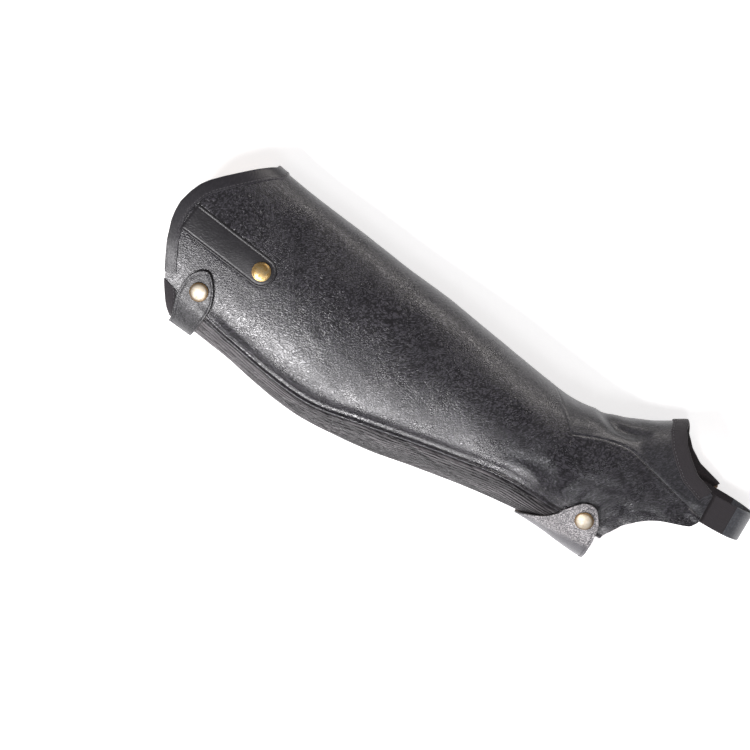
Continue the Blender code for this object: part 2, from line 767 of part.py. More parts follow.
def build_stirrup():
    sewn = spread(227 * MM - STRAP_SEWN, 227 * MM, 4)
    lateral = [sewn_line(x, 0, inner=False) for x in sewn]
    medial = [sewn_line(x, STRAP_LOOP[-1][2], inner=True) for x in reversed(sewn)]
    loop = [strap_line(x, z, lean) for x, z, lean in STRAP_LOOP]
    lines = lateral + loop + medial
    faces_out = []
    for number, line in enumerate(lines):
        before = lines[max(number - 1, 0)]
        after = lines[min(number + 1, len(lines) - 1)]
        row = []
        for k, here in enumerate(line):
            run = after[k] - before[k]
            wide = line[min(k + 1, 4)] - line[max(k - 1, 0)]
            row.append((here, here - wide.cross(run).normalized() * ELASTIC))
        faces_out.append(row)
    first = len(lateral) + STRAP_LEATHER_FROM
    last = len(lateral) + STRAP_LEATHER_TO
    two_skins("stirrup_elastic_outer", [faces_out[:first + 1]], ELASTIC_CLOTH)
    two_skins("stirrup_leather", [shortened(faces_out[first:last + 1])], SMOOTH_LEATHER)
    two_skins("stirrup_elastic_inner", [faces_out[last:]], ELASTIC_CLOTH)


def shortened(rows):
    """The rows with both ends drawn in by the seam gap."""
    def drawn(end, beside):
        moved = []
        for (a, b), (c, d) in zip(end, beside):
            moved.append((a + (c - a).normalized() * GAP, b + (d - b).normalized() * GAP))
        return moved
    return [drawn(rows[0], rows[1]), *rows[1:-1], drawn(rows[-1], rows[-2])]


def main():
    for old in list(bpy.data.objects):
        bpy.data.objects.remove(old, do_unlink=True)
    group = bpy.data.collections.new(COLLECTION)
    bpy.context.scene.collection.children.link(group)
    build_main_panel()
    build_stretch_panel()
    build_gusset()
    build_bindings()
    build_strip()
    build_strip_cap()
    build_knee_tab()
    build_heel_flap()
    build_zip()
    build_slider()
    build_stirrup()


main()
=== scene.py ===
import math

import bpy
import numpy as np
from mathutils import Matrix, Vector


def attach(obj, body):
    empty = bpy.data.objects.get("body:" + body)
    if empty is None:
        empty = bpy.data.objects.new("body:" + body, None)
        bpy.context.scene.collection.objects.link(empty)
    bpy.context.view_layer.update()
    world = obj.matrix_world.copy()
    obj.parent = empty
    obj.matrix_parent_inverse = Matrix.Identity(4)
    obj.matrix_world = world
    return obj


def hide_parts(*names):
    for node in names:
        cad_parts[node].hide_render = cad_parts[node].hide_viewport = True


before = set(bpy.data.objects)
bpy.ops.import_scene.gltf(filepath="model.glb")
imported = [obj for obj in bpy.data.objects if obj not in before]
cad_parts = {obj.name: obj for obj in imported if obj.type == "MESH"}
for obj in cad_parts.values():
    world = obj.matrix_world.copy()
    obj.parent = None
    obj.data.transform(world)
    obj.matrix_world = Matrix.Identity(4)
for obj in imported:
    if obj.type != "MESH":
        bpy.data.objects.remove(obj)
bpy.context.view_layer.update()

# The looks of a leather half chap that lies zipped on its inner side. It
# repeats the tube that the solids are built on: +X from knee to foot, +Y to
# the shin, +Z up. A place on the tube is (x, share of the girth), from the
# shin over the outer side to the calf and back along the inner side.

MM = 0.001
MIDDLE = np.array([1.95, 0.86, 0.0]) * MM

# Sizes shared with the solids
WALL = 1.8 * MM
GAP = 0.3 * MM
SEAM_GAP = 0.06 * MM
EDGE_CLEAR = 0.12 * MM
OVERLAY = 1.5 * MM
ELASTIC = 1.3 * MM
SECTIONS = MM * np.array([
    (-262, -60, 93, 54),
    (-220, -64, 85, 56),
    (-196, -66, 81, 57),
    (-170, -70, 77, 58),
    (-132, -77, 72, 60),
    (-84, -82, 65, 63),
    (-36, -78, 59.5, 67),
    (13, -70, 51, 72),
    (65, -63, 42.5, 74),
    (95, -60, 40, 71),
    (123, -58.5, 45, 63),
    (152, -58, 54, 59),
    (180, -57, 70, 56),
    (232, -52, 92, 50),
])
UNDERSIDE = MM * np.array([
    (-262, 3.7), (-192, 3.7), (-165, 0), (64, 0), (88, 2.7), (232, 2.7),
])
TOP_FULLNESS, BOTTOM_FULLNESS = 2.15, 2.7
FLOOR_SINK, FLOOR_BLEND = 2.5 * MM, 1.0 * MM
RIDGE = MM * np.array([
    (-250, -36), (-235, -41), (-212, -47), (-191, -53), (-159, -60), (-128, -66),
    (-89, -69), (-47, -62), (3, -53), (37, -47), (71, -42), (123, -43), (165, -45),
])
STRETCH_WIDTH = 37.0 * MM
ZIP_OPENING = 7.4 * MM
KNEE_EDGE = MM * np.array([
    (-205, 80), (-209.5, 77.3), (-219.5, 69.3), (-228.4, 61.3), (-237.3, 53.2), (-246.2, 44.2),
    (-250.9, 37.7), (-254.6, 29.3), (-257.5, 18.7), (-257.5, 10.2), (-256.5, 2.5), (-251.7, -13.2),
    (-245, -28), (-237.4, -43), (-229.2, -55.5), (-222, -63),
])
KNEE_EDGE_INNER = np.array([
    (-220, 0.53), (-216, 0.60), (-207, 0.70), (-203, 0.82), (-204, 0.92),
])
FOOT_EDGE = MM * np.array([
    (180, 70), (182, 62), (188, 52), (197, 43), (207, 35), (218, 31), (226.5, 28),
    (227, 3), (222, -4.5), (204, -9), (192, -15), (184, -21), (175, -30), (168, -41),
    (163, -50), (161, -57),
])
FOOT_SHIFT = MM * np.array([
    (0, 0, 0), (28, 4.0, 10.0), (35, 1.0, 10.0), (43, -0.5, 10.0), (60, -0.5, 10.0), (70, 0, 0),
])
HEEL_END = 161 * MM
GUSSET_POINT, GUSSET_CORNER = 68 * MM, 103 * MM
GUSSET_SEAM = MM * np.array([
    (95, 11), (103, 13.5), (115, 18), (126, 22), (138, 25), (152, 26), (173, 21),
    (195, 15), (219, 9), (232, 6),
])
INSTEP_CORNER = (226 * MM, 29.5 * MM)
RIM_WIDTH, INSTEP_WIDTH, STRETCH_RIM_WIDTH = 9.6 * MM, 10.5 * MM, 9.0 * MM
BINDING = 0.9 * MM
STRIP_START, STRIP_END = np.array([-249, 12]) * MM, np.array([-174, 2]) * MM
STRIP_WIDTH, STRIP_LEAD = 24.0 * MM, 2.8 * MM
CAP_RADIUS, CAP_HEIGHT = 7.75 * MM, 3.2 * MM
TAB = MM * np.array([
    (16, -219.5, -198.5, 3.3), (24, -219.8, -197.5, 3.2), (32, -222, -196.3, 3.0),
    (39, -223.7, -195.3, 2.8), (47, -224, -194.5, 2.5), (52, -223.5, -194.8, 2.3),
    (58, -221.9, -196.8, 2.2), (63, -219.2, -199.6, 2.2), (66.3, -216.5, -202.7, 2.2),
    (69, -213, -206.2, 2.2), (70, -210.8, -208.4, 2.2),
])
TAB_SNAP = (-209 * MM, 53.3 * MM)
TAB_BRIDGE = MM * np.array([
    (-28, -216, -201, 0.5), (-16, -218, -200, 0.5), (-8, -219.5, -200, 2.2),
    (0, -220, -200, 3.4), (8, -220, -200, 3.4), (15.7, -220, -200, 3.3),
])
TAB_PATCH = MM * np.array([
    (-38, -212.5, -206, 2.1), (-36, -214.5, -202.5, 2.1), (-31, -216, -199.5, 2.1),
    (-24, -217, -198.5, 2.1), (-16.5, -218, -198.5, 2.1),
])
HEEL_FLAP = MM * np.array([
    (-60, 126, 138, 0.5, 0.5), (-57, 121, 145, 0.5, 0.5), (-50, 115, 151, 0.5, 0.5),
    (-38, 109, 155, 0.5, 0.5), (-24, 102, 158, 1.0, 1.4), (-10, 97.5, 160.5, 2.0, 5.0),
    (4, 96, 161.3, 2.2, 9.5), (14, 99, 161.5, 2.4, 9.0), (23, 108.5, 161.5, 2.6, 6.5),
    (30, 117, 161.3, 2.8, 4.8), (38, 124.5, 160.5, 2.9, 3.6), (47.5, 130.5, 158.7, 2.8, 2.9),
    (52, 134.5, 156.7, 2.7, 2.7), (56, 139, 153.3, 2.7, 2.7), (59, 144.5, 148.5, 2.6, 2.6),
])
FLAP_SNAP = (146.6 * MM, 46.2 * MM)
TAPE_WIDTH = 11.0 * MM
ZIP_TOP, ZIP_BOTTOM = -222 * MM, 159 * MM
SLIDER_PLACE = -212 * MM
STRAP_WIDTH, STRAP_MIDDLE_Y, STRAP_SEWN, STRAP_DEPTH = 25.0 * MM, 16.5 * MM, 20 * MM, 4.4 * MM
STRAP_LOOP = MM * np.array([
    (237, 45.5, 0), (248.5, 43.5, 0.3), (256.5, 38.5, 1), (261.7, 31, 2), (263.5, 23, 3),
    (261.7, 15.5, 4), (255.5, 10, 5), (246.3, 7.8, 5.7), (236, 7.2, 6),
])

# The camera looks straight down, turned so that the leg runs as in the photo
CAMERA_PLACE = (-56.95 * MM, -24.66 * MM, 3.038)
CAMERA_TURN = math.radians(30)
CAMERA_LENS = 180


# Small helpers

def read(table, x, column=1):
    """Straight-line values of a table's column at x."""
    return np.interp(x, table[:, 0], table[:, column])


def reader(xs, values):
    return lambda x: np.interp(x, xs, values)


def hump(distance, place, width):
    """1 at the place, falling to 0 within about two widths."""
    return np.exp(-((distance - place) / width) ** 2)


def run_length(steps):
    """Length from the start after each step, for rows of steps."""
    return np.concatenate([[0], np.cumsum(np.linalg.norm(steps, axis=-1))])


# The tube's surface as a table over x and share

X_STEP = 1.0 * MM
X_GRID = np.arange(-276, 247) * MM
RING_POINTS = 480
SHARES = 640
SMOOTH_REACH = 4


def along(table, x, column=1):
    """Smooth values of a table's column at x, straight on past its ends."""
    x = np.asarray(x, float)
    xs, values = table[:, 0], table[:, column]
    slopes = np.gradient(values, xs)
    row = np.clip(np.searchsorted(xs, x) - 1, 0, len(xs) - 2)
    step = xs[row + 1] - xs[row]
    t = np.clip((x - xs[row]) / step, 0, 1)
    start = (2 * t ** 3 - 3 * t ** 2 + 1) * values[row] + (t ** 3 - 2 * t ** 2 + t) * step * slopes[row]
    end = (3 * t ** 2 - 2 * t ** 3) * values[row + 1] + (t ** 3 - t ** 2) * step * slopes[row + 1]
    low = np.minimum(x - xs[0], 0) * slopes[0]
    high = np.maximum(x - xs[-1], 0) * slopes[-1]
    return start + end + low + high


def build_rings():
    """Sections at every step of x: y, z, share of the girth, and girth."""
    back, front, height = (along(SECTIONS, X_GRID, column)[:, None] for column in (1, 2, 3))
    under = read(UNDERSIDE, X_GRID)[:, None]
    angle = np.linspace(0, 2 * math.pi, RING_POINTS + 1)[None, :]
    cosine, sine = np.cos(angle), np.sin(angle)
    fullness = np.where(sine >= 0, TOP_FULLNESS, BOTTOM_FULLNESS)
    widest = (under + height) / 2
    y = (front + back) / 2 + (front - back) / 2 * np.sign(cosine) * np.abs(cosine) ** (2 / fullness)
    rise = (height - widest) * np.abs(sine) ** (2 / TOP_FULLNESS)
    fall = (widest - under + FLOOR_SINK) * np.abs(sine) ** (2 / BOTTOM_FULLNESS)
    clear = np.where(sine >= 0, widest + rise, widest - fall) - under
    blend = (clear + FLOOR_BLEND) ** 2 / (4 * FLOOR_BLEND)
    z = under + np.where(clear > FLOOR_BLEND, clear, np.where(clear < -FLOOR_BLEND, 0, blend))
    length = np.cumsum(np.hypot(np.diff(y), np.diff(z)), axis=1)
    length = np.concatenate([np.zeros((len(X_GRID), 1)), length], axis=1)
    return y, z, length / length[:, -1:], length[:, -1]


RING_Y, RING_Z, RING_SHARE, GIRTHS = build_rings()
HALF = RING_POINTS // 2


def share_row(row, y, inner=False):
    """Share where the outer or inner side of one section passes y."""
    ys, shares = RING_Y[row], RING_SHARE[row]
    if inner:
        return np.interp(y, ys[HALF:], shares[HALF:]) - 1
    return np.interp(-y, -ys[:HALF + 1], shares[:HALF + 1])


def row_at(x):
    return int(round((x - X_GRID[0]) / X_STEP))


def share_at(x, y, inner=False):
    return float(share_row(row_at(x), y, inner))


RIDGE_SHARES = [share_row(i, along(RIDGE, x)) for i, x in enumerate(X_GRID)]
RIDGE_LAP = 2.8 * MM
girth, ridge_share = reader(X_GRID, GIRTHS), reader(X_GRID, RIDGE_SHARES)


def lap_share(x):
    """The main panel's turned edge laps over the stretch panel."""
    return ridge_share(x) + RIDGE_LAP / girth(x)


def zip_share(x):
    return ridge_share(x) + (STRETCH_WIDTH + ZIP_OPENING / 2) / girth(x)


def seam_reader(inner):
    """Share of the gusset's side seam, the same all the way above its corner."""
    places = np.maximum(X_GRID, GUSSET_CORNER)
    return reader(X_GRID, [share_row(row_at(x), along(GUSSET_SEAM, x), inner) for x in places])


gusset_share, medial_seam = seam_reader(False), seam_reader(True)


def medial_zip(x):
    return zip_share(x) - 1 + ZIP_OPENING / 2 / girth(x)


def lateral_zip(x):
    return zip_share(x) - ZIP_OPENING / 2 / girth(x)


# Creases and broad waves of the filled-out leather

# On the outer side: start x, y, end x, y, depth (a ridge is below 0), half width
OUTER_CREASES = MM * np.array([
    (160, 44, 110, 46, 3.0, 4.5),
    (165, 57, 128, 58, -0.8, 5),
    (120, 28, 160, 33, 0.8, 4),
    (150, -34, 176, -12, 1.3, 3.5),
    (158, -44, 184, -26, 1.1, 3.0),
    (136, -34, 160, -2, 1.0, 4),
    (168, -30, 196, -6, 0.8, 3.0),
    (118, -30, 140, -8, 0.7, 3.5),
    (200, -4, 224, 12, 1.4, 2.6),
    (206, -6, 224, 2, 1.1, 2.2),
    (202, 22, 224, 19, 0.7, 2.6),
    (70, -30, 112, -24, 0.9, 6),
    (60, -36, 104, -33, -0.8, 3.5),
    (84, -14, 118, -2, 0.6, 5),
    (-20, 40, 40, 30, -0.5, 8),
    (-150, 34, -90, 26, 0.5, 9),
    (-215, 40, -170, 30, 0.5, 7),
])
INNER_CREASES = MM * np.array([
    (110, 40, 150, 34, 2.0, 7),
    (150, -20, 176, 0, 1.0, 4),
    (60, 20, 90, -20, 0.8, 6),
    (-190, 40, -150, 20, 0.6, 8),
])
# A trough runs beside the ridge seam: x, depth
RIDGE_TROUGH = MM * np.array([
    (-240, 0.0), (-195, 0.6), (-150, 1.5), (-110, 2.2), (-50, 2.4), (10, 2.0), (60, 1.4),
    (110, 0.9), (165, 0.3),
])
TROUGH_PLACE, TROUGH_WIDTH = 3.6 * MM, 3.4 * MM
WAVES, WAVE_SIZE, WAVE_DEPTH = 14, 55 * MM, 0.45 * MM
RIPPLE_SIZE, RIPPLE_DEPTH = 15 * MM, 0.10 * MM
# The ankle is worn softer: x, ripple depth there
RIPPLE_GAIN = np.array([(-0.262, 0.8), (0.06, 0.8), (0.12, 1.3), (0.23, 1.5)])
REST_HEIGHT = 4.0 * MM


def waves(points, size, seed):
    """Smooth noise from -1 to 1 at each point, as a sum of turned sine waves."""
    chance = np.random.default_rng(seed)
    total = np.zeros(points.shape[:-1])
    for _ in range(WAVES):
        direction = chance.normal(size=3)
        direction /= np.linalg.norm(direction)
        wavelength = size * chance.uniform(0.6, 1.7)
        total += np.sin(points @ direction * 2 * math.pi / wavelength + chance.uniform(0, 2 * math.pi))
    return total / math.sqrt(WAVES) / 1.4


def crease_depth(x, y, creases):
    """Troughs along straight lines on plan, fading toward both ends."""
    depth = np.zeros_like(x)
    for x0, y0, x1, y1, deep, wide in creases:
        run = np.array([x1 - x0, y1 - y0])
        length = np.linalg.norm(run)
        run /= length
        part = (x - x0) * run[0] + (y - y0) * run[1]
        side = -(x - x0) * run[1] + (y - y0) * run[0]
        bend = 0.15 * length * np.sin(np.clip(part / length, 0, 1) * math.pi)
        fade = np.clip(1 - np.abs(2 * part / length - 1) ** 3, 0, 1)
        depth += deep * fade * hump(side, bend, wide)
    return depth


def build_surface():
    """Points and outward normals of the tube on the regular x and share grid."""
    shares = np.linspace(0, 1, SHARES + 1)
    y, z = (np.array([np.interp(shares, s, v) for s, v in zip(RING_SHARE, ring)])
            for ring in (RING_Y, RING_Z))
    x = np.repeat(X_GRID[:, None], SHARES + 1, axis=1)
    points = np.stack([x, y, z], axis=-1)
    normals = surface_normals(points)
    upper = np.clip(normals[..., 2] * 3 + 0.5, 0, 1)
    depth = crease_depth(x, y, OUTER_CREASES) * upper + crease_depth(x, y, INNER_CREASES) * (1 - upper)
    beside = (ridge_share(x) - shares[None, :]) * girth(x)
    trough = along(RIDGE_TROUGH, x) * hump(beside, TROUGH_PLACE, TROUGH_WIDTH)
    ripple = RIPPLE_DEPTH * read(RIPPLE_GAIN, x)
    shift = WAVE_DEPTH * waves(points, WAVE_SIZE, 3) + ripple * waves(points, RIPPLE_SIZE, 8)
    shift = shift - depth - np.maximum(trough, 0)
    rest = np.clip(z / REST_HEIGHT, 0, 1) ** 2
    points = points + normals * (shift * rest)[..., None]
    return points - MIDDLE, surface_normals(points)


def surface_normals(points):
    wide = np.concatenate([points[:, -1 - SMOOTH_REACH:-1], points, points[:, 1:1 + SMOOTH_REACH]], axis=1)
    across = wide[:, 2 * SMOOTH_REACH:] - wide[:, :-2 * SMOOTH_REACH]
    down = np.gradient(points, axis=0)
    normals = np.cross(across, down)
    return normals / np.linalg.norm(normals, axis=-1, keepdims=True)


POINTS, NORMALS = build_surface()


def sample(table, x, share):
    """Bilinear reading of a surface table."""
    fx = np.clip((np.asarray(x) - X_GRID[0]) / X_STEP, 0, len(X_GRID) - 1.001)
    fs = (np.asarray(share) % 1) * SHARES
    i, j = fx.astype(int), np.minimum(fs.astype(int), SHARES - 1)
    u, v = (fx - i)[..., None], (fs - j)[..., None]
    low = table[i, j] * (1 - v) + table[i, j + 1] * v
    high = table[i + 1, j] * (1 - v) + table[i + 1, j + 1] * v
    return low * (1 - u) + high * u


def place(x, share, out=0.0):
    """Points of the tube, moved out along the normal."""
    x, share, out = np.broadcast_arrays(x, share, out)
    return sample(POINTS, x, share) + normal_at(x, share) * out[..., None]


def normal_at(x, share):
    found = sample(NORMALS, x, share)
    return found / np.linalg.norm(found, axis=-1, keepdims=True)


# Knee and foot edges

EDGE_STEP, EDGE_REACH, EDGE_SMOOTHING = 0.001, 20, 0.005
EDGE_GRID = np.linspace(-0.56, 0.62, 1181)


def edge_reader(rows):
    """The edge's x at each share from (share, x) rows, its corners rounded."""
    rows = np.array(sorted(rows))
    weight = np.exp(-(np.arange(-EDGE_REACH, EDGE_REACH + 1) * EDGE_STEP / EDGE_SMOOTHING) ** 2 * 2)
    padded = np.pad(read(rows, EDGE_GRID), EDGE_REACH, mode="edge")
    return reader(EDGE_GRID, np.convolve(padded, weight / weight.sum(), mode="valid"))


def knee_rows():
    outer = [(share_at(x, y), x) for x, y in KNEE_EDGE]
    inner = [(share - 1, x * MM) for x, share in KNEE_EDGE_INNER]
    return outer + inner + [(inner[0][0] + 1, inner[0][1])]


def foot_rows():
    outer = [(share_at(x, y), x) for x, y in FOOT_EDGE]
    inner = []
    for x, y in FOOT_EDGE[1:]:
        inner_y = y + read(FOOT_SHIFT, y, 2)
        inner.append((share_at(x, inner_y, inner=True), x + read(FOOT_SHIFT, y)))
    heel = [(0.5 + 0.012 * step, HEEL_END) for step in range(1, 8)]
    heel += [(-0.5 + 0.02 * step, HEEL_END) for step in range(2)]
    return outer + inner + heel


knee_edge, foot_edge = edge_reader(knee_rows()), edge_reader(foot_rows())
KNEE_REACH, FOOT_REACH = (-274 * MM, -150 * MM), (100 * MM, 240 * MM)


def meet(edge, lines, reach):
    """The x where each line down the leg crosses an edge."""
    low, high = np.full(lines.count, reach[0]), np.full(lines.count, reach[1])
    for _ in range(30):
        x = (low + high) / 2
        above = edge(lines.at(x)) > x
        low, high = np.where(above, x, low), np.where(above, high, x)
    return x


class Lines:
    """Lines down the leg at parts 0 to 1 between two seams."""

    def __init__(self, first, second, parts, inset_first=0.0, inset_second=0.0):
        self.first, self.second, self.parts = first, second, np.asarray(parts, float)
        self.insets, self.count = (inset_first, inset_second), len(self.parts)

    def at(self, x):
        low = self.first(x) + self.insets[0] / girth(x)
        high = self.second(x) - self.insets[1] / girth(x)
        return low + (high - low) * self.parts


# Meshes

def add_object(name, data):
    made = bpy.data.objects.new(name, data)
    bpy.context.scene.collection.objects.link(made)
    return made


def make_mesh(name, points, faces, material_ids=None, flat=None):
    mesh = bpy.data.meshes.new(name)
    mesh.from_pydata(points.tolist(), [], faces)
    if material_ids is not None:
        mesh.polygons.foreach_set("material_index", np.asarray(material_ids, dtype=np.int32))
    if flat is not None:
        layer = mesh.attributes.new("flat", "FLOAT_VECTOR", "POINT")
        layer.data.foreach_set("vector", np.ascontiguousarray(flat, dtype=np.float32).ravel())
    mesh.shade_smooth()
    return add_object(name, mesh)


def grid_faces(ids):
    """Quads of a grid of vertex numbers, with repeated corners dropped."""
    corners = ids[:-1, :-1], ids[:-1, 1:], ids[1:, 1:], ids[1:, :-1]
    faces = (tuple(dict.fromkeys(four)) for four in zip(*(part.ravel().tolist() for part in corners)))
    return [face for face in faces if len(face) > 2]


def closed_ids(rows, columns, first=0):
    """Vertex numbers of a grid whose last column meets its first."""
    ids = np.arange(first, first + rows * columns).reshape(rows, columns)
    return np.concatenate([ids, ids[:, :1]], axis=1)


def tube_faces(rows, columns):
    """Faces of a tube of sections, capped at both ends."""
    ids = closed_ids(rows, columns)
    return grid_faces(ids) + [tuple(ids[0, -2::-1].tolist()), tuple(ids[-1, :-1].tolist())]


def copies(points, faces):
    """Points and faces of many copies of one shape."""
    starts = [n * len(points[0]) for n in range(len(points))]
    return np.concatenate(points), [tuple(i + start for i in face) for start in starts for face in faces]


def two_skins(name, blocks, edge_angle=35):
    """A closed wall. Each block is (x, share, outer, inner, mark) grids; equal places join.

    The mark, 0 to 1, says where painted light goes: a painted highlight, or painted shade deep in a fold."""
    keys, outer, inner, flat, shapes = [], [], [], [], []
    for x, share, out, into, mark in blocks:
        x, share, out, into, mark = np.broadcast_arrays(x, share, out, into, mark)
        shapes.append(x.shape)
        spots = np.stack([x.ravel(), share.ravel() / 3], 1)
        keys.append(np.round(spots * 1e6 + 0.123).astype(np.int64))
        outer.append(place(x, share, out).reshape(-1, 3))
        inner.append(place(x, share, into).reshape(-1, 3))
        flat.append(np.stack([x.ravel(), (share * girth(x)).ravel(), mark.ravel()], 1))
    _, first, index = np.unique(np.concatenate(keys), axis=0, return_index=True, return_inverse=True)
    index = index.ravel()
    faces, start = [], 0
    for shape in shapes:
        size = shape[0] * shape[1]
        faces += grid_faces(index[start:start + size].reshape(shape))
        start += size
    outer, inner, flat = (np.concatenate(parts)[first] for parts in (outer, inner, flat))
    return close_wall(name, outer, inner, faces, flat, edge_angle)


def close_wall(name, outer, inner, faces, flat, edge_angle):
    """Two skins with the same faces, joined all round: materials outer 0, inner 1, cut edge 2."""
    count = len(outer)
    used = set()
    for face in faces:
        used.update(zip(face, face[1:] + face[:1]))
    rim = [(b, a, a + count, b + count) for a, b in used if (b, a) not in used]
    rim.sort()
    back = [tuple(i + count for i in reversed(face)) for face in faces]
    ids = [0] * len(faces) + [1] * len(back) + [2] * len(rim)
    points = np.concatenate([outer, inner])
    made = make_mesh(name, points, faces + back + rim, ids, np.concatenate([flat, flat]))
    if facing_in(points, faces[len(faces) // 2], outer, inner):
        made.data.flip_normals()
    made.data.set_sharp_from_angle(angle=math.radians(edge_angle))
    return made


def facing_in(points, face, outer, inner):
    """True if a face of the outer skin looks toward the inner skin."""
    a, b, c = (points[i] for i in face[:3])
    return float(np.dot(np.cross(b - a, c - a), outer[face[0]] - inner[face[0]])) < 0


def fix_facing(made):
    """Turns a closed mesh inside out if its volume is below zero."""
    mesh = made.data
    mesh.calc_loop_triangles()
    corners = np.empty(len(mesh.loop_triangles) * 3, dtype=np.int32)
    mesh.loop_triangles.foreach_get("vertices", corners)
    points = np.empty(len(mesh.vertices) * 3, dtype=np.float32)
    mesh.vertices.foreach_get("co", points)
    a, b, c = points.reshape(-1, 3)[corners].reshape(-1, 3, 3).transpose(1, 0, 2)
    if np.einsum("ij,ij->i", a, np.cross(b, c)).sum() < 0:
        mesh.flip_normals()


def set_sharp(made, angle):
    fix_facing(made)
    made.data.set_sharp_from_angle(angle=math.radians(angle))
    return made


def finish_piece(piece, materials, slot, *nodes):
    """Every piece rides on the one body and takes the given materials; the slot is not used."""
    for material in materials:
        piece.data.materials.append(material)
    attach(piece, "root")
    if nodes:
        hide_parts(*nodes)
    return piece


# Leather panels

MEDIAL_COLUMNS, FRONT_COLUMNS, LATERAL_COLUMNS = 68, 62, 54
LEG_ROWS, ANKLE_ROWS = 150, 52
RIDGE_RISE, RIDGE_WIDTH = 0.95 * MM, 3.2 * MM
RIDGE_LINES = MM * np.array([0, 0.3, 0.6, 0.9, 1.25, 1.6, 1.95, 2.3, 2.6, 2.9, 3.3, 3.9, 4.7, 5.7, 6.9, 8.3])
RELIEF_FROM, RELIEF_FULL = 11 * MM, 22 * MM
SEAM_DIP, SEAM_DIP_WIDTH = 0.35 * MM, 0.75 * MM
SEAM_LIP, SEAM_LIP_PLACE, SEAM_LIP_WIDTH = 0.12 * MM, 1.6 * MM, 0.8 * MM
PUCKER, PUCKER_PITCH, PUCKER_PLACE, PUCKER_WIDTH = 0.10 * MM, 5.2 * MM, 5 * MM, 3 * MM
GROOVE, GROOVE_PLACE, GROOVE_WIDTH = 0.4, 3.8 * MM, 0.9 * MM
STRIP_SINK = 0.35 * MM


def grid_on(lines, start, end, rows):
    """x and share grids along lines, from their start to their end x."""
    x = start + (end - start) * np.linspace(0, 1, rows)[:, None]
    return x, lines.at(x)


def relief(x, share):
    """Raised forms start below the knee binding: 0 under it, 1 well below it."""
    below = x - knee_edge(share)
    return np.clip((below - RELIEF_FROM) / (RELIEF_FULL - RELIEF_FROM), 0, 1)


def gusset_tip_x(part):
    """The upper seam's x: part is 0 at the shin and 1 at the corner."""
    return GUSSET_POINT + (GUSSET_CORNER - GUSSET_POINT) * np.minimum(1, np.abs(part)) ** 1.15


def gusset_seam_distance(x, share):
    """About how far a place on the tube is from the gusset's seam."""
    low, high = medial_seam(x), gusset_share(x)
    part = np.clip(2 * (share - low) / (high - low) - 1, -1, 1)
    upper = np.abs(x - gusset_tip_x(part)) * 0.72
    sides = np.minimum(np.abs(share - low), np.abs(share - high)) * girth(x)
    return np.where(x < GUSSET_CORNER, np.minimum(upper, np.hypot(sides, x - GUSSET_CORNER)), sides)


def seam_form(distance, along_seam):
    """Leather dips into a seam, with a low lip beside it, pulled in at each stitch."""
    lip = SEAM_LIP * hump(distance, SEAM_LIP_PLACE, SEAM_LIP_WIDTH)
    pull = 1 + 0.6 * np.sin(along_seam * 2 * math.pi / PUCKER_PITCH)
    pulled = PUCKER * pull * hump(distance, PUCKER_PLACE, PUCKER_WIDTH)
    return lip - SEAM_DIP * hump(distance, 0, SEAM_DIP_WIDTH) - pulled


def ridge_form(x, share):
    """The main panel's turned edge: a round roll, with the stitched groove beside it."""
    distance = (lap_share(x) - share) * girth(x)
    half = RIDGE_WIDTH / 2
    roll = np.cos(np.clip((distance - half) / half, -1, 1) * math.pi / 2) ** 1.4
    groove = GROOVE * hump(distance, GROOVE_PLACE, GROOVE_WIDTH)
    near = (distance > -GAP) * (distance < 9 * MM)
    return RIDGE_RISE * (roll - groove) * near * relief(x, share)


def strip_print(x, share):
    """The leather gives a little under the spur strip."""
    spot = sample(POINTS, x, share) + MIDDLE
    axis = STRIP_END - STRIP_START
    length = np.linalg.norm(axis)
    axis = axis / length
    reach_x, reach_y = spot[..., 0] - STRIP_START[0], spot[..., 1] - STRIP_START[1]
    part = np.clip(reach_x * axis[0] + reach_y * axis[1], 0, length)
    off = np.hypot(reach_x - part * axis[0], reach_y - part * axis[1]) - STRIP_WIDTH / 2
    upper = spot[..., 2] > 30 * MM
    return -STRIP_SINK * np.clip(-off / (1.0 * MM) + 0.5, 0, 1) * upper


def main_form(x, share):
    along_seam = np.hypot(x, share * 0.25)
    form = ridge_form(x, share) + strip_print(x, share)
    return form + seam_form(gusset_seam_distance(x, share), along_seam)


def build_main_panel():
    medial = Lines(medial_zip, medial_seam, np.linspace(0, 1, MEDIAL_COLUMNS))
    front = Lines(medial_seam, gusset_share, np.linspace(0, 1, FRONT_COLUMNS))
    width = (lap_share(0.0) - gusset_share(0.0)) * girth(0.0)
    beside = 1 - RIDGE_LINES[::-1] / width
    parts = np.concatenate([np.linspace(0, beside[0], LATERAL_COLUMNS)[:-1], beside])
    lateral = Lines(gusset_share, lap_share, parts, inset_second=SEAM_GAP / 2)
    tips = gusset_tip_x(2 * front.parts - 1)
    blocks = []
    for lines, ends in ((medial, None), (front, tips), (lateral, None)):
        tops = meet(knee_edge, lines, KNEE_REACH)
        corner = np.full(lines.count, GUSSET_CORNER) if ends is None else ends
        blocks.append(grid_on(lines, tops, corner, LEG_ROWS))
        if ends is None:
            feet = meet(foot_edge, lines, FOOT_REACH)
            blocks.append(grid_on(lines, corner, feet, ANKLE_ROWS))
    walls = [(x, share, main_form(x, share), -WALL, 0) for x, share in blocks]
    return finish_piece(two_skins("leather_main", walls), [LEATHER, SUEDE, CUT_EDGE], "leather", "main_panel")


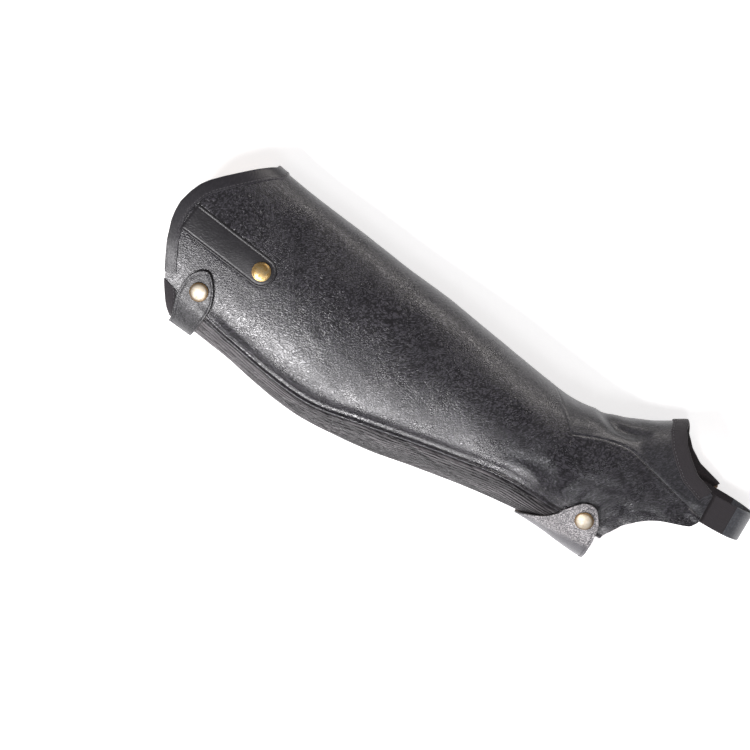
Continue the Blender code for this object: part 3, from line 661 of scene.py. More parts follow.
def build_gusset():
    lines = Lines(medial_seam, gusset_share, np.linspace(0, 1, 76), SEAM_GAP, SEAM_GAP)
    starts = gusset_tip_x(2 * lines.parts - 1) + 1.6 * SEAM_GAP
    x, share = grid_on(lines, starts, meet(foot_edge, lines, FOOT_REACH), 70)
    out = seam_form(gusset_seam_distance(x, share), np.hypot(x, share * 0.25)) - 0.15 * MM
    made = two_skins("leather_gusset", [(x, share, out, -WALL, 0)])
    return finish_piece(made, [GUSSET_LEATHER, SUEDE, CUT_EDGE], "leather", "ankle_gusset")


# Ribs gathered along the calf: wandering lines, fuller toward the ankle
RIB_COUNT, RIB_HEIGHT, PLAIN_STRIP = 12, 1.4 * MM, 6.0 * MM
RIB_WANDER = 0.34
RIB_FULLNESS = np.array([(-0.262, 0.3), (-0.16, 0.55), (-0.08, 0.95), (0.0, 1.15), (0.165, 1.15)])


def rib_form(x, part):
    """Height of the ribs, and a mark for painted shade deep in their valleys, at part 0 (ridge seam) to 1
    (plain strip).
    """
    chance = np.random.default_rng(21)
    wander = np.zeros_like(x)
    for _ in range(9):
        length, spread = chance.uniform(0.035, 0.14), chance.uniform(0.6, 4.0)
        wander += np.sin(x / length * 2 * math.pi + part * spread * math.pi + chance.uniform(0, 6.28))
    phase = part * RIB_COUNT + RIB_WANDER * wander / 3
    main = np.abs(np.sin(math.pi * phase)) ** 0.42
    fine = np.abs(np.sin(math.pi * phase * 2.17 + x / 0.03)) ** 0.6
    fine = fine * (0.5 + 0.5 * np.sin(x / 0.021 + part * 9))
    full = read(RIB_FULLNESS, x)
    ends = np.clip(part / 0.05, 0, 1) * np.clip((1 - part) / 0.04, 0, 1)
    level = 0.8 * main + 0.25 * fine
    return RIB_HEIGHT * full * ends * level, np.clip(1 - level, 0, 1) * full * ends


def build_stretch_panel():
    visible = STRETCH_WIDTH - RIDGE_LAP
    ribbed = 1 - PLAIN_STRIP / visible
    lines = Lines(lap_share, lateral_zip, np.linspace(0, 1, 92), inset_first=SEAM_GAP / 2)
    tops = meet(knee_edge, lines, KNEE_REACH)
    heel = np.full(lines.count, HEEL_END)
    x, share = grid_on(lines, tops, heel, 260)
    part = (share - lap_share(x)) / (lateral_zip(x) - lap_share(x))
    distance = part * visible
    # The second form darkens the rib valleys in colour: painted shade
    ribs, valley_shade = (form * (part < ribbed) for form in rib_form(x, np.clip(part / ribbed, 0, 1)))
    seam = 0.25 * MM * hump(distance, 0.9 * MM, 0.8 * MM)
    pressed = 0.35 * MM * hump(distance, visible - 2.6 * MM, 0.7 * MM)
    out = (ribs + seam - pressed) * relief(x, share)
    made = two_skins("leather_stretch", [(x, share, out, -WALL, valley_shade)], edge_angle=60)
    return finish_piece(made, [STRETCH_LEATHER, SUEDE, CUT_EDGE], "stretch_leather", "stretch_panel")


# Bindings folded over the edges

# The fold's round edge gets a painted highlight up to the first height from the middle of the wall, fading to
# the second
FOLD_HIGHLIGHT_HEIGHTS = (1.0 * MM, 1.9 * MM)
BINDING_THREAD_IN = 1.7 * MM


def stations(edge, first, last, count):
    """Even places along an edge, as x and share."""
    fine = np.linspace(first, last, 1500)
    xs = edge(fine)
    measure = run_length(np.stack([np.diff(xs), np.diff(fine) * girth(xs[1:])], 1))
    share = np.interp(np.linspace(0, measure[-1], count), measure, fine)
    return edge(share), share


def inward(x, share, into):
    """Unit steps (x, arc) across an edge, into the panel."""
    run_x, run_s = np.gradient(x), np.gradient(share) * girth(x)
    length = np.hypot(run_x, run_s)
    return run_s / length * into, -run_x / length * into


def leaf(width, low, thick, groove):
    """One leaf of a binding: distances from the edge, and its two faces, toward the free end."""
    end = [(width, low + 0.15 * MM), (width - 0.25 * MM, low + thick * 0.75), (width - 0.9 * MM, low + thick)]
    line = [(width - BINDING_THREAD_IN, low + thick - groove), (width - 2.6 * MM, low + thick)]
    middle = [(width * t, low + thick * (1 + 0.06 * math.sin(t * 9))) for t in (0.6, 0.42, 0.25, 0.1)]
    return end + line + middle


def anywhere(x, share):
    return share


def binding(name, edge, first, last, count, into, width, material, slot, node, keep=anywhere):
    """A band folded over an edge and sewn; keep holds its places back from a neighbour."""
    x, share = stations(edge, first, last, count)
    step_x, step_s = inward(x, share, into)
    top = leaf(width, EDGE_CLEAR, BINDING, 0.22 * MM)
    radius = WALL / 2 + EDGE_CLEAR + BINDING
    round_end = [(-EDGE_CLEAR - BINDING * 0.9 * math.sin(a), -WALL / 2 + radius * math.cos(a))
                 for a in np.linspace(0.25, math.pi - 0.25, 9)]
    bottom = [(d, -WALL - o) for d, o in reversed(top)]
    inside = [(width, -WALL - EDGE_CLEAR), (width / 2, -WALL - EDGE_CLEAR), (0.2 * MM, -WALL - EDGE_CLEAR),
              (-EDGE_CLEAR * 0.6, -WALL / 2), (0.2 * MM, EDGE_CLEAR), (width / 2, EDGE_CLEAR),
              (width, EDGE_CLEAR)]
    profile = np.array(top + round_end + bottom + inside)
    d, out = profile[:, 0][None, :], profile[:, 1][None, :]
    xs = x[:, None] + step_x[:, None] * d
    shares = keep(xs, share[:, None] + step_s[:, None] * d / girth(xs))
    wobble = 0.12 * MM * waves(np.stack([x, share * 0.25, 0 * x], 1), 0.02, 5)[:, None] * (out > 0)
    sections = place(xs, shares, out + wobble)
    # A painted highlight along the binding's folded edge, carried in the flat attribute's z
    fold = np.interp(np.abs(out + WALL / 2), FOLD_HIGHLIGHT_HEIGHTS, [1, 0])
    run = run_length(np.stack([np.diff(x), np.diff(share) * girth(x[1:])], 1))
    across = run_length(np.diff(profile, axis=0))
    flat = np.stack(np.broadcast_arrays(run[:, None], across[None, :], fold), -1).reshape(-1, 3)
    made = make_mesh(name, sections.reshape(-1, 3), tube_faces(*sections.shape[:2]), None, flat)
    finish_piece(set_sharp(made, 40), [material], slot, node)
    inner = width - BINDING_THREAD_IN
    line_x = x + step_x * inner
    line_share = share + step_s * inner / girth(line_x)
    sew(name + "_thread", line_x, keep(line_x, line_share), EDGE_CLEAR + BINDING - 0.05 * MM, slot)


def build_bindings():
    ridge_line = Lines(ridge_share, ridge_share, [0.0])
    ridge_end = float(ridge_share(meet(knee_edge, ridge_line, KNEE_REACH))[0])
    seam = (RIDGE_WIDTH + GAP) / girth(-0.23)
    patch_end = zip_share(ZIP_TOP) - 1 - TAB_PATCH[0, 0] / girth(ZIP_TOP) + seam
    binding("rim_band", knee_edge, patch_end, ridge_end - seam, 300, 1, RIM_WIDTH, RIM_FOLD_HIGHLIGHT, "smooth_leather",
            "top_rim", lambda x, share: np.minimum(share, ridge_share(x) - seam))
    stretch_end = zip_share(ZIP_TOP) - ZIP_OPENING / 2 / girth(ZIP_TOP)
    binding("stretch_band", knee_edge, ridge_end + seam / 4, stretch_end, 50, 1, STRETCH_RIM_WIDTH,
            ELASTIC_CLOTH, "elastic", "stretch_binding",
            lambda x, share: np.maximum(share, ridge_share(x) + seam / 4))
    corner_x, corner_y = INSTEP_CORNER
    inner_y = corner_y + FOOT_SHIFT[1, 2] * 0.8
    binding("instep_band", foot_edge, share_at(corner_x, inner_y, inner=True), share_at(corner_x, corner_y),
            200, -1, INSTEP_WIDTH, ELASTIC_CLOTH, "elastic", "instep_binding")


# Sewing: rows of small capsules

STITCH_LENGTH, STITCH_PITCH, STITCH_RADIUS = 1.9 * MM, 2.9 * MM, 0.28 * MM


def lathe(profile, steps):
    """Points and faces turned about Z from (radius, height) rows, from top to bottom."""
    turn = np.linspace(0, 2 * math.pi, steps, endpoint=False)
    rings = [(r * math.cos(a), r * math.sin(a), h) for r, h in profile[1:-1] for a in turn]
    points = np.array([(0, 0, profile[0][1]), *rings, (0, 0, profile[-1][1])])
    ids = closed_ids(len(profile) - 2, steps, 1)
    first, last, end = ids[0].tolist(), ids[-1].tolist(), len(points) - 1
    faces = [face[::-1] for face in grid_faces(ids)]
    faces += [(0, a, b) for a, b in zip(first, first[1:])]
    faces += [(a, end, b) for a, b in zip(last, last[1:])]
    return points, faces


STITCH = [(0, 0.5), (0.7, 0.42), (1, 0.15), (1, -0.15), (0.7, -0.42), (0, -0.5)]


def sew_line(name, line, up, slot):
    """Stitches along a dense line of points, their backs to the given normals."""
    measure = run_length(np.diff(line, axis=0))
    count = int((measure[-1] - STITCH_LENGTH) / STITCH_PITCH)
    if count < 1:
        return
    middles = STITCH_LENGTH / 2 + (np.arange(count) + 0.5) * (measure[-1] - STITCH_LENGTH) / count
    shape, faces = lathe(STITCH, 6)
    shape = shape[:, [2, 0, 1]]
    points = []
    for middle in middles:
        spot, ahead, back = (np.array([np.interp(middle + d, measure, line[:, k]) for k in range(3)])
                             for d in (0, STITCH_LENGTH / 2, -STITCH_LENGTH / 2))
        normal = np.array([np.interp(middle, measure, up[:, k]) for k in range(3)])
        tangent = (ahead - back) / np.linalg.norm(ahead - back)
        side = np.cross(normal, tangent)
        side *= STITCH_RADIUS / np.linalg.norm(side)
        points.append(spot + shape @ np.array([tangent * STITCH_LENGTH, side, np.cross(tangent, side)]))
    made = make_mesh(name, *copies(points, faces))
    fix_facing(made)
    finish_piece(made, [THREAD], slot)


def sew(name, x, share, out, slot):
    """Stitches along places on the tube."""
    x, share, out = np.broadcast_arrays(x, share, out)
    sew_line(name, place(x, share, out), normal_at(x, share), slot)


# Name, first x, last x, places, line, distance beside it, height, slot
SEAM_THREADS = (
    ("ridge_thread", -0.222, 0.158, 900, lap_share, 0.9 * MM, 0.3 * MM, "stretch_leather"),
    ("zip_thread_outer", -0.205, 0.090, 700, lateral_zip, -2.6 * MM, -0.25 * MM, "stretch_leather"),
    ("zip_thread_inner", -0.195, 0.090, 700, medial_zip, 2.6 * MM, 0.1 * MM, "leather"),
)
# Name, inner side, step from the strap and last place as shares
HEEL_THREADS = (("heel_thread_inner", True, -0.015, -0.47), ("heel_thread_outer", False, 0.015, 0.46))
HEEL_INSET = 3 * MM


def build_seam_threads():
    for name, start, end, count, line, beside, out, slot in SEAM_THREADS:
        x = np.linspace(start, end, count)
        sew(name, x, line(x) + beside / girth(x), out, slot)
    for name, inner, step, end in HEEL_THREADS:
        start = share_at(INSTEP_CORNER[0], 1.5 * MM, inner) + step
        heel_line(name, np.linspace(start, end, 500))


def heel_line(name, share):
    """Stitches inside the plain edge below the strap."""
    x = foot_edge(share)
    step_x, step_s = inward(x, share, -1)
    share = share - step_s * HEEL_INSET / girth(x) * np.sign(step_x)
    sew(name, x - np.abs(step_x) * HEEL_INSET, share, 0.05 * MM, "leather")


# Flat pieces laid on the leather

def edge_distance(spots):
    """Distance of each place of a flat grid to the grid's own outline."""
    outline = np.concatenate([spots[0], spots[1:, -1], spots[-1, -2::-1], spots[-2:0:-1, 0]])
    nearest = np.full(spots.shape[:-1], np.inf)
    for a, b in zip(outline, np.roll(outline, -1, axis=0)):
        run = b - a
        part = np.clip(((spots - a) @ run) / max(run @ run, 1e-12), 0, 1)
        nearest = np.minimum(nearest, np.linalg.norm(spots - a - part[..., None] * run, axis=-1))
    return nearest


def rounded_edge(distance, radius):
    """Drop of a face toward a cut edge: radius deep at the edge, 0 from radius inward."""
    t = np.clip(1 - distance / radius, 0, 1)
    return radius * (1 - np.sqrt(np.clip(1 - t ** 2, 0, 1)))


def border_form(distance, width, height):
    """A turned border round a leather end, with the sewn groove inside it."""
    border = height * np.clip((width - distance) / (0.4 * MM) + 0.5, 0, 1)
    return border - 0.25 * MM * hump(distance, width, 0.5 * MM) - rounded_edge(distance, 0.6 * MM)


def fine_steps(count, crowd=1.6):
    """Steps 0 to 1, closer together at both ends."""
    t = np.linspace(-1, 1, count)
    return 0.5 + 0.5 * np.sign(t) * (1 - (1 - np.abs(t)) ** crowd)


def cross_strip(name, table, thickness, rows, columns, form, materials, slot, node, painted_highlight=None):
    """A strip that runs round the leg: table is distance from the zip, x range, stand-off.

    Returns what strip_thread needs."""
    places = table[0, 0] + (table[-1, 0] - table[0, 0]) * fine_steps(rows)
    first, last = along(table, places, 1), along(table, places, 2)
    across = fine_steps(columns)[None, :]
    near, far = (read(table, places, column) for column in (3, -1))
    stand = near[:, None] + (far - near)[:, None] * across
    x = first[:, None] + (last - first)[:, None] * across
    distance = np.broadcast_to(places[:, None], x.shape)
    share = zip_share(x) - distance / girth(x)
    edge = edge_distance(np.stack([distance, x], axis=-1))
    out = stand + thickness + form(edge, distance, x)
    into = stand + 0.3 * rounded_edge(edge, 0.5 * MM)
    # The strip's mark is a painted highlight where one is given, and 0 otherwise
    made = two_skins(name, [(x, share, out, into, painted_highlight(distance, x) if painted_highlight else 0)])
    finish_piece(made, materials, slot, node)
    return places, first, last, near, far


def strip_thread(name, rails, inset, out, slot, end_inset=None):
    """Stitches inside the sides and the far end of a cross strip."""
    places, first, last, near, far = rails
    stop = places[-1] - (inset if end_inset is None else end_inset)
    keep = (places < stop) & (last - first > 2.6 * inset)
    p = np.concatenate([places[keep], places[keep][::-1]])
    x = np.concatenate([first[keep] + inset, (last[keep] - inset)[::-1]])
    s = np.concatenate([near[keep], far[keep][::-1]])
    fine = np.linspace(0, len(p) - 1, 500)
    number = np.arange(len(p))
    p, x, s = (np.interp(fine, number, values) for values in (p, x, s))
    sew(name, x, zip_share(x) - p / girth(x), s + out, slot)


def strip_snap(name, table, spot, base, clear):
    """A snap at (x, distance from the zip) on a cross strip."""
    x, distance = spot
    stand = float(read(table, distance, 3))
    build_snap(name, x, zip_share(x) - distance / girth(x), stand, base, clear, CAP_BRIGHT)


def build_knee_tab():
    def tab_form(edge, distance, x):
        return border_form(edge, 2.2 * MM, 0.18 * MM)

    def web_form(edge, distance, x):
        return 0.12 * MM * np.sin(x / (1.1 * MM) * 2 * math.pi) - rounded_edge(edge, 0.35 * MM)

    rails = cross_strip("tab_leather", TAB, OVERLAY, 90, 40, tab_form, [TAB_LEATHER, SUEDE, CUT_EDGE],
                        "smooth_leather", "knee_tab")
    strip_thread("tab_thread", rails, 2.3 * MM, OVERLAY - 0.1 * MM, "smooth_leather")
    cross_strip("tab_web", TAB_BRIDGE, ELASTIC, 80, 90, web_form, [ELASTIC_CLOTH] * 3,
                "elastic", "tab_elastic")
    rails = cross_strip("tab_patch", TAB_PATCH, OVERLAY, 40, 30, tab_form, [LEATHER, SUEDE, CUT_EDGE],
                        "leather", "elastic_patch")
    strip_thread("patch_thread", rails, 2.2 * MM, OVERLAY - 0.1 * MM, "leather", 0)
    strip_snap("tab", TAB, TAB_SNAP, GAP, GAP)


# The flap's upper part is painted pale from this distance on, a painted highlight, which leans along the leg
FLAP_HIGHLIGHT_FROM, FLAP_HIGHLIGHT_LEAN, FLAP_HIGHLIGHT_MIDDLE, FLAP_HIGHLIGHT_BLEND = 24 * MM, 0.2, 130 * MM, 3.5 * MM


def build_heel_flap():
    def flap_form(edge, distance, x):
        roll = 0.5 * MM * waves(np.stack([distance, x, 0 * x], -1), 0.045, 12) * np.clip(edge / 0.01, 0, 1)
        return border_form(edge, 2.4 * MM, 0.12 * MM) + roll * (distance > -0.03) * 0.6

    # Where the flap gets its painted highlight: 0 before the line, 1 beyond it
    def flap_highlight(distance, x):
        beyond = distance - FLAP_HIGHLIGHT_FROM - FLAP_HIGHLIGHT_LEAN * (x - FLAP_HIGHLIGHT_MIDDLE)
        return np.clip(beyond / FLAP_HIGHLIGHT_BLEND + 0.5, 0, 1)

    rails = cross_strip("flap_leather", HEEL_FLAP, OVERLAY, 130, 70, flap_form,
                        [FLAP_LEATHER, SUEDE, CUT_EDGE], "leather", "heel_flap", flap_highlight)
    strip_thread("flap_thread", rails, 2.5 * MM, OVERLAY - 0.1 * MM, "leather")
    strip_snap("flap", HEEL_FLAP, FLAP_SNAP, 1.6 * MM, 0.5 * MM)


STRIP_LIFT, STRIP_THICK, STRIP_THREAD_IN = 0.1 * MM, 1.35 * MM, 1.9 * MM


def build_strip():
    """The flat strip with a round end on the outer side."""
    axis = STRIP_END - STRIP_START
    length = np.linalg.norm(axis)
    direction = axis / length
    side = np.array([-direction[1], direction[0]])
    half = STRIP_WIDTH / 2
    places = np.concatenate([np.linspace(STRIP_LEAD, length, 60)[:-1],
                             length + half * np.sin(np.radians(np.linspace(0, 89, 26)))])
    reach = np.sqrt(np.maximum(half ** 2 - np.maximum(places - length, 0) ** 2, 0))
    across = 2 * fine_steps(44) - 1
    flat = STRIP_START + direction * places[:, None, None] + side * (reach[:, None] * across)[..., None]
    x = flat[..., 0]
    share = np.array([[share_at(px, py) for px, py in row] for row in flat])
    edge = edge_distance(flat)
    sunk = 0.3 * MM * hump(edge, STRIP_THREAD_IN, 0.5 * MM)
    out = STRIP_LIFT + STRIP_THICK - rounded_edge(edge, 0.7 * MM) - sunk
    made = two_skins("strip_leather", [(x, share, out, STRIP_LIFT, 0)])
    finish_piece(made, [RIM_LEATHER, SUEDE, CUT_EDGE], "smooth_leather", "spur_strip")
    inner = half - STRIP_THREAD_IN
    turn = np.radians(np.linspace(-90, 90, 80))
    round_end = STRIP_END + np.outer(np.cos(turn), direction) * inner + np.outer(np.sin(turn), side) * inner
    starts = [STRIP_START + direction * STRIP_LEAD + side * inner * k for k in (-1, 1)]
    line = np.concatenate([np.linspace(starts[0], round_end[0], 150)[:-1], round_end,
                           np.linspace(round_end[-1], starts[1], 150)[1:]])
    shares = np.array([share_at(px, py) for px, py in line])
    sew("strip_thread", line[:, 0], shares, 1.2 * MM, "smooth_leather")
    build_snap("strip", STRIP_END[0], share_at(*STRIP_END), 0.0, GAP, GAP, CAP_BRONZE)


# Snaps

def surface_place(x, share, out):
    """Matrix with Z along the surface normal and X down the leg."""
    up = Vector(normal_at(x, share).tolist())
    ahead, behind = place(x + MM, share), place(x - MM, share)
    down = Vector((ahead - behind).tolist()).normalized()
    side = up.cross(down).normalized()
    matrix = Matrix((side.cross(up), side, up)).transposed().to_4x4()
    matrix.translation = Vector(place(x, share, out).tolist())
    return matrix


def turned(name, profile, matrix, steps=64):
    made = make_mesh(name, *lathe(profile, steps))
    made.matrix_world = matrix
    return set_sharp(made, 35)


def cap_profile():
    """A dome that rises from a rolled rim."""
    dome = [(0.0, 1.0)]
    dome += [(0.90 * t, 0.42 + 0.58 * math.sqrt(1 - (0.93 * t) ** 2)) for t in np.linspace(0.08, 1, 12)]
    rim = [(0.93, 0.44), (0.97, 0.42), (1.0, 0.30), (0.985, 0.12), (0.94, 0.02), (0.0, 0.0)]
    return np.array(dome + rim) * (CAP_RADIUS, CAP_HEIGHT)


STUD_RADIUS, STUD_BEVEL = 4.5 * MM, 0.2 * MM


def build_snap(name, x, share, stand, base, clear, cap_material):
    """A cap on a leather end that stands off by stand, and a stud below it if there is room."""
    cap = turned(name + "_dome", cap_profile(), surface_place(x, share, stand + OVERLAY + GAP * 0.2))
    finish_piece(cap, [cap_material], "brass", name + "_cap")
    height = stand - clear - base
    if height > GAP:
        profile = [(0, height), (STUD_RADIUS - STUD_BEVEL, height), (STUD_RADIUS, height - STUD_BEVEL / 2),
                   (STUD_RADIUS, 0), (0, 0)]
        stud = turned(name + "_socket", profile, surface_place(x, share, base), steps=32)
        finish_piece(stud, [CAP_BRIGHT], "brass", name + "_stud")


# Zip

TAPE_STEP, TAPE_DEPTH, TAPE_THICK = 0.3 * MM, 0.6 * MM, 0.7 * MM


def build_zip():
    for name, side in (("tape_inner", 1), ("tape_outer", -1)):
        x = np.linspace(ZIP_TOP + 14 * MM, ZIP_BOTTOM, 240)[:, None]
        step = side * (TAPE_STEP + (TAPE_WIDTH - TAPE_STEP) * np.linspace(0, 1, 14)[None, :])
        share = zip_share(x) + step / girth(x)
        weave = 0.06 * MM * np.sin(x / (1.2 * MM) * 2 * math.pi)
        upper = -WALL - TAPE_DEPTH
        made = two_skins(name, [(x, share, upper + weave, upper - TAPE_THICK, 0)])
        finish_piece(made, [ZIP_CLOTH] * 3, "zip_tape", "zip_" + name)
    build_teeth()
    build_slider()


TOOTH_PITCH = 1.9 * MM
TOOTH = MM * np.array([
    (-0.55, -2.9), (0.55, -2.9), (0.6, -0.9), (0.42, -0.2), (0.62, 0.35), (0.3, 0.95),
    (-0.3, 0.95), (-0.62, 0.35), (-0.42, -0.2), (-0.6, -0.9),
])
# Height, share of the outline
TOOTH_LEVELS = ((0.55 * MM, 0.8), (0.35 * MM, 1.0), (-1.5 * MM, 1.0), (-1.7 * MM, 0.8))


def build_teeth():
    """Moulded teeth from both tapes, half a pitch apart, with a rounded back."""
    points = []
    for number in range(int((ZIP_BOTTOM - ZIP_TOP) / TOOTH_PITCH * 2)):
        x = ZIP_TOP + number * TOOTH_PITCH / 2
        side = 1 if number % 2 else -1
        matrix = surface_place(x, float(zip_share(x)), 0.0)
        outline = (TOOTH * (1, side))[::side]
        points.append([tuple(matrix @ Vector((a * part, b * (0.5 + part / 2), height)))
                       for height, part in TOOTH_LEVELS for a, b in outline])
    made = make_mesh("teeth", *copies(points, tube_faces(len(TOOTH_LEVELS), len(TOOTH))))
    finish_piece(set_sharp(made, 30), [ZIP_TEETH], "zip_teeth", "zip_chain")


def plate(name, node, outer, inner, thickness, x, out, bevel=0.25 * MM):
    """A flat metal plate with a hole, from two closed outlines, over the zip at x."""
    levels = []
    for outline, sign in ((outer, 1), (inner, -1)):
        centre = outline.mean(axis=0)
        shrunk = centre + (outline - centre) * (1 - sign * bevel / np.abs(outline - centre).max())
        top, edge = sign * thickness / 2, sign * (thickness / 2 - bevel)
        levels += [(shrunk, top), (outline, edge), (outline, -edge), (shrunk, -top)]
    sections = np.array([[(a, b, z) for a, b in outline] for outline, z in levels])
    ids = closed_ids(*sections.shape[:2])
    made = make_mesh(name, sections.reshape(-1, 3), grid_faces(np.concatenate([ids, ids[:1]])))
    made.matrix_world = surface_place(x, float(zip_share(x)), out)
    finish_piece(set_sharp(made, 30), [ZIP_METAL], "zip_metal", node)


def rounded_outline(length, width, corner, count=48):
    """A rounded rectangle by angle, centred on 0."""
    turn = np.linspace(0, 2 * math.pi, count, endpoint=False)
    power = 2 + 6 * (1 - corner)
    c, s = np.cos(turn), np.sin(turn)
    return np.stack([length / 2 * np.sign(c) * np.abs(c) ** (2 / power),
                     width / 2 * np.sign(s) * np.abs(s) ** (2 / power)], 1)


SLIDER_LENGTH, PULL_LENGTH, CROWN = 11 * MM, 20 * MM, 0.9 * MM


def build_slider():
    """The slider's crown on the chain, and its pull lying down the leg."""
    outer = rounded_outline(SLIDER_LENGTH, 8.5 * MM, 0.5)
    outer[:, 1] *= 1 - 0.18 * outer[:, 0] / (SLIDER_LENGTH / 2)
    hole = rounded_outline(0.8 * MM, 0.8 * MM, 1)
    plate("slider_body", "zip_slider", outer, hole, 1.2 * MM, SLIDER_PLACE, CROWN + 0.6 * MM)
    hole = rounded_outline(7 * MM, 2.4 * MM, 0.9) + (5.4 * MM, 0)
    pull_x = SLIDER_PLACE + SLIDER_LENGTH / 2 + PULL_LENGTH / 2 + GAP
    outer = rounded_outline(PULL_LENGTH, 5.5 * MM, 0.8)
    plate("slider_pull", "zip_pull", outer, hole, 1.0 * MM, pull_x, CROWN + 1.0 * MM)


# Stirrup strap

STRAP_LEATHER_FROM, STRAP_LEATHER_TO = 1, 7
STRAP_COLUMNS = 61
SEWN_ROWS, SEWN_END, ROW_STEPS = 4, 227 * MM, 8


def strap_rows():
    """Outer face of the strap: rows across it, first sewn under the outer side."""
    ys = STRAP_MIDDLE_Y + STRAP_WIDTH / 2 * np.linspace(1, -1, STRAP_COLUMNS)
    sewn = np.linspace(SEWN_END - STRAP_SEWN, SEWN_END, SEWN_ROWS)

    def sewn_row(x, lean, inner):
        share = np.array([share_at(x, y + lean, inner) for y in ys])
        return place(x, share, -STRAP_DEPTH)

    rows = [sewn_row(x, 0, False) for x in sewn]
    for x, z, lean in STRAP_LOOP:
        rows.append(np.stack([np.full(STRAP_COLUMNS, x), ys + lean, np.full(STRAP_COLUMNS, z)], 1) - MIDDLE)
    rows += [sewn_row(x, STRAP_LOOP[-1, 2], True) for x in sewn[::-1]]
    return np.array(rows)


def spline_rows(rows):
    """Catmull-Rom rows through given rows, with ROW_STEPS steps between two."""
    numbers = np.linspace(0, len(rows) - 1, (len(rows) - 1) * ROW_STEPS + 1)
    padded = np.concatenate([[2 * rows[0] - rows[1]], rows, [2 * rows[-1] - rows[-2]]])
    found = []
    for number in numbers:
        i = min(int(number), len(rows) - 2)
        t = number - i
        a, b, c, d = padded[i:i + 4]
        found.append(0.5 * (2 * b + (c - a) * t + (2 * a - 5 * b + 4 * c - d) * t ** 2
                            + (3 * b - a - 3 * c + d) * t ** 3))
    return np.array(found)


def strap_part(name, rows, inward_normals, form, materials, slot, node):
    """A piece of the strap on some of its rows; form gives its rise from -1 to 1 across."""
    shape = rows.shape[:2]
    rise = form(np.linspace(-1, 1, STRAP_COLUMNS)[None, :])[..., None]
    outer = rows - inward_normals * rise
    inner = rows + inward_normals * (ELASTIC + rise)
    index = np.arange(shape[0] * shape[1]).reshape(shape)
    across = np.linspace(0, STRAP_WIDTH, STRAP_COLUMNS)
    length = run_length(np.diff(rows[:, STRAP_COLUMNS // 2], axis=0))
    flat = np.stack([*np.meshgrid(length, across, indexing="ij"), np.zeros(shape)], -1)
    parts = (part.reshape(-1, 3) for part in (outer, inner))
    finish_piece(close_wall(name, *parts, grid_faces(index), flat.reshape(-1, 3), 50), materials, slot, node)


def build_stirrup():
    rows = spline_rows(strap_rows())
    run, wide = np.gradient(rows, axis=0), np.gradient(rows, axis=1)
    normals = -np.cross(wide, run)
    normals /= np.linalg.norm(normals, axis=-1, keepdims=True)
    first, last = ((SEWN_ROWS + row) * ROW_STEPS for row in (STRAP_LEATHER_FROM, STRAP_LEATHER_TO))

    def web_form(part):
        weave = 0.08 * MM * np.sin(part * 13 * 2 * math.pi)
        return weave - 0.3 * MM * np.clip((np.abs(part) - 0.95) / 0.05, 0, 1)

    def leather_form(part):
        groove = 0.2 * MM * hump(np.abs(part), 0.84, 0.03)
        return 0.15 * MM - groove - 0.5 * MM * np.clip((np.abs(part) - 0.94) / 0.06, 0, 1) ** 2

    web, smooth = [ELASTIC_CLOTH] * 3, [STRAP_LEATHER, STRAP_LEATHER, CUT_EDGE]
    for name, start, end, form, materials, slot, node in (
            ("strap_web_outer", 0, first, web_form, web, "elastic", "stirrup_elastic_outer"),
            ("strap_leather", first, last, leather_form, smooth, "smooth_leather", "stirrup_leather"),
            ("strap_web_inner", last, len(rows), web_form, web, "elastic", "stirrup_elastic_inner")):
        strap_part(name, rows[start:end + 1], normals[start:end + 1], form, materials, slot, node)
    for number, row in enumerate((first + 2, first + 5, last - 2, last - 5)):
        up = -normals[row, 3:-3]
        sew_line(f"strap_thread_{number}", rows[row, 3:-3] + up * 0.2 * MM, up, "smooth_leather")


# Materials

class Nodes:
    """A material under construction. Values are constants, or outputs to link."""

    def __init__(self, name):
        self.material = bpy.data.materials.new(name)
        self.material.use_nodes = True
        self.tree = self.material.node_tree

    def put(self, socket, value):
        if isinstance(value, bpy.types.NodeSocket):
            self.tree.links.new(value, socket)
        else:
            socket.default_value = (*value, 1) if socket.type == "RGBA" else value

    def set(self, node, values):
        """Fills sockets by name, with _ for a space."""
        for name, value in values.items():
            self.put(node.inputs[name.replace("_", " ")], value)

    def done(self, **values):
        """Fills the shader's sockets and gives the material."""
        self.set(self.tree.nodes["Principled BSDF"], values)
        return self.material

    def add(self, kind, settings=(), **values):
        node = self.tree.nodes.new("ShaderNode" + kind)
        for name, value in dict(settings).items():
            setattr(node, name, value)
        self.set(node, values)
        return node

    def math(self, operation, *values, kind="Math", output=0):
        node = self.add(kind, {"operation": operation})
        for socket, value in zip(node.inputs, values):
            self.put(socket, value)
        return node.outputs[output]

    def ramp(self, value, low, high, from_low=0.0, from_high=1.0):
        """Takes from_low to low and from_high to high, and no further."""
        node = self.add("MapRange", {"clamp": True}, Value=value, From_Min=from_low, From_Max=from_high,
                        To_Min=low, To_Max=high)
        return node.outputs["Result"]

    def mix(self, factor, a, b):
        node = self.add("Mix", {"data_type": "RGBA"})
        for number, value in ((0, factor), (6, a), (7, b)):
            self.put(node.inputs[number], value)
        return node.outputs[2]

    def bump(self, height, distance):
        return self.add("Bump", Height=height, Distance=distance, Strength=1.0).outputs[0]

    def attribute(self):
        return self.add("Attribute", {"attribute_name": "flat"}).outputs["Vector"]

    def flat(self, scale):
        """The place on the flat leather, scaled."""
        return self.add("Mapping", Vector=self.attribute(), Scale=scale).outputs[0]

    def mark(self):
        return self.add("SeparateXYZ", Vector=self.attribute()).outputs["Z"]

    def space(self):
        return self.add("TexCoord").outputs["Object"]

    def noise(self, vector, scale, detail=2.0, rough=0.5, distortion=0.0, output="Fac"):
        return self.add("TexNoise", Vector=vector, Scale=scale, Detail=detail, Roughness=rough,
                        Distortion=distortion).outputs[output]

    def cells(self, vector, scale):
        """Distance to the edges of random cells."""
        node = self.add("TexVoronoi", {"feature": "DISTANCE_TO_EDGE"}, Vector=vector, Scale=scale)
        return node.outputs["Distance"]


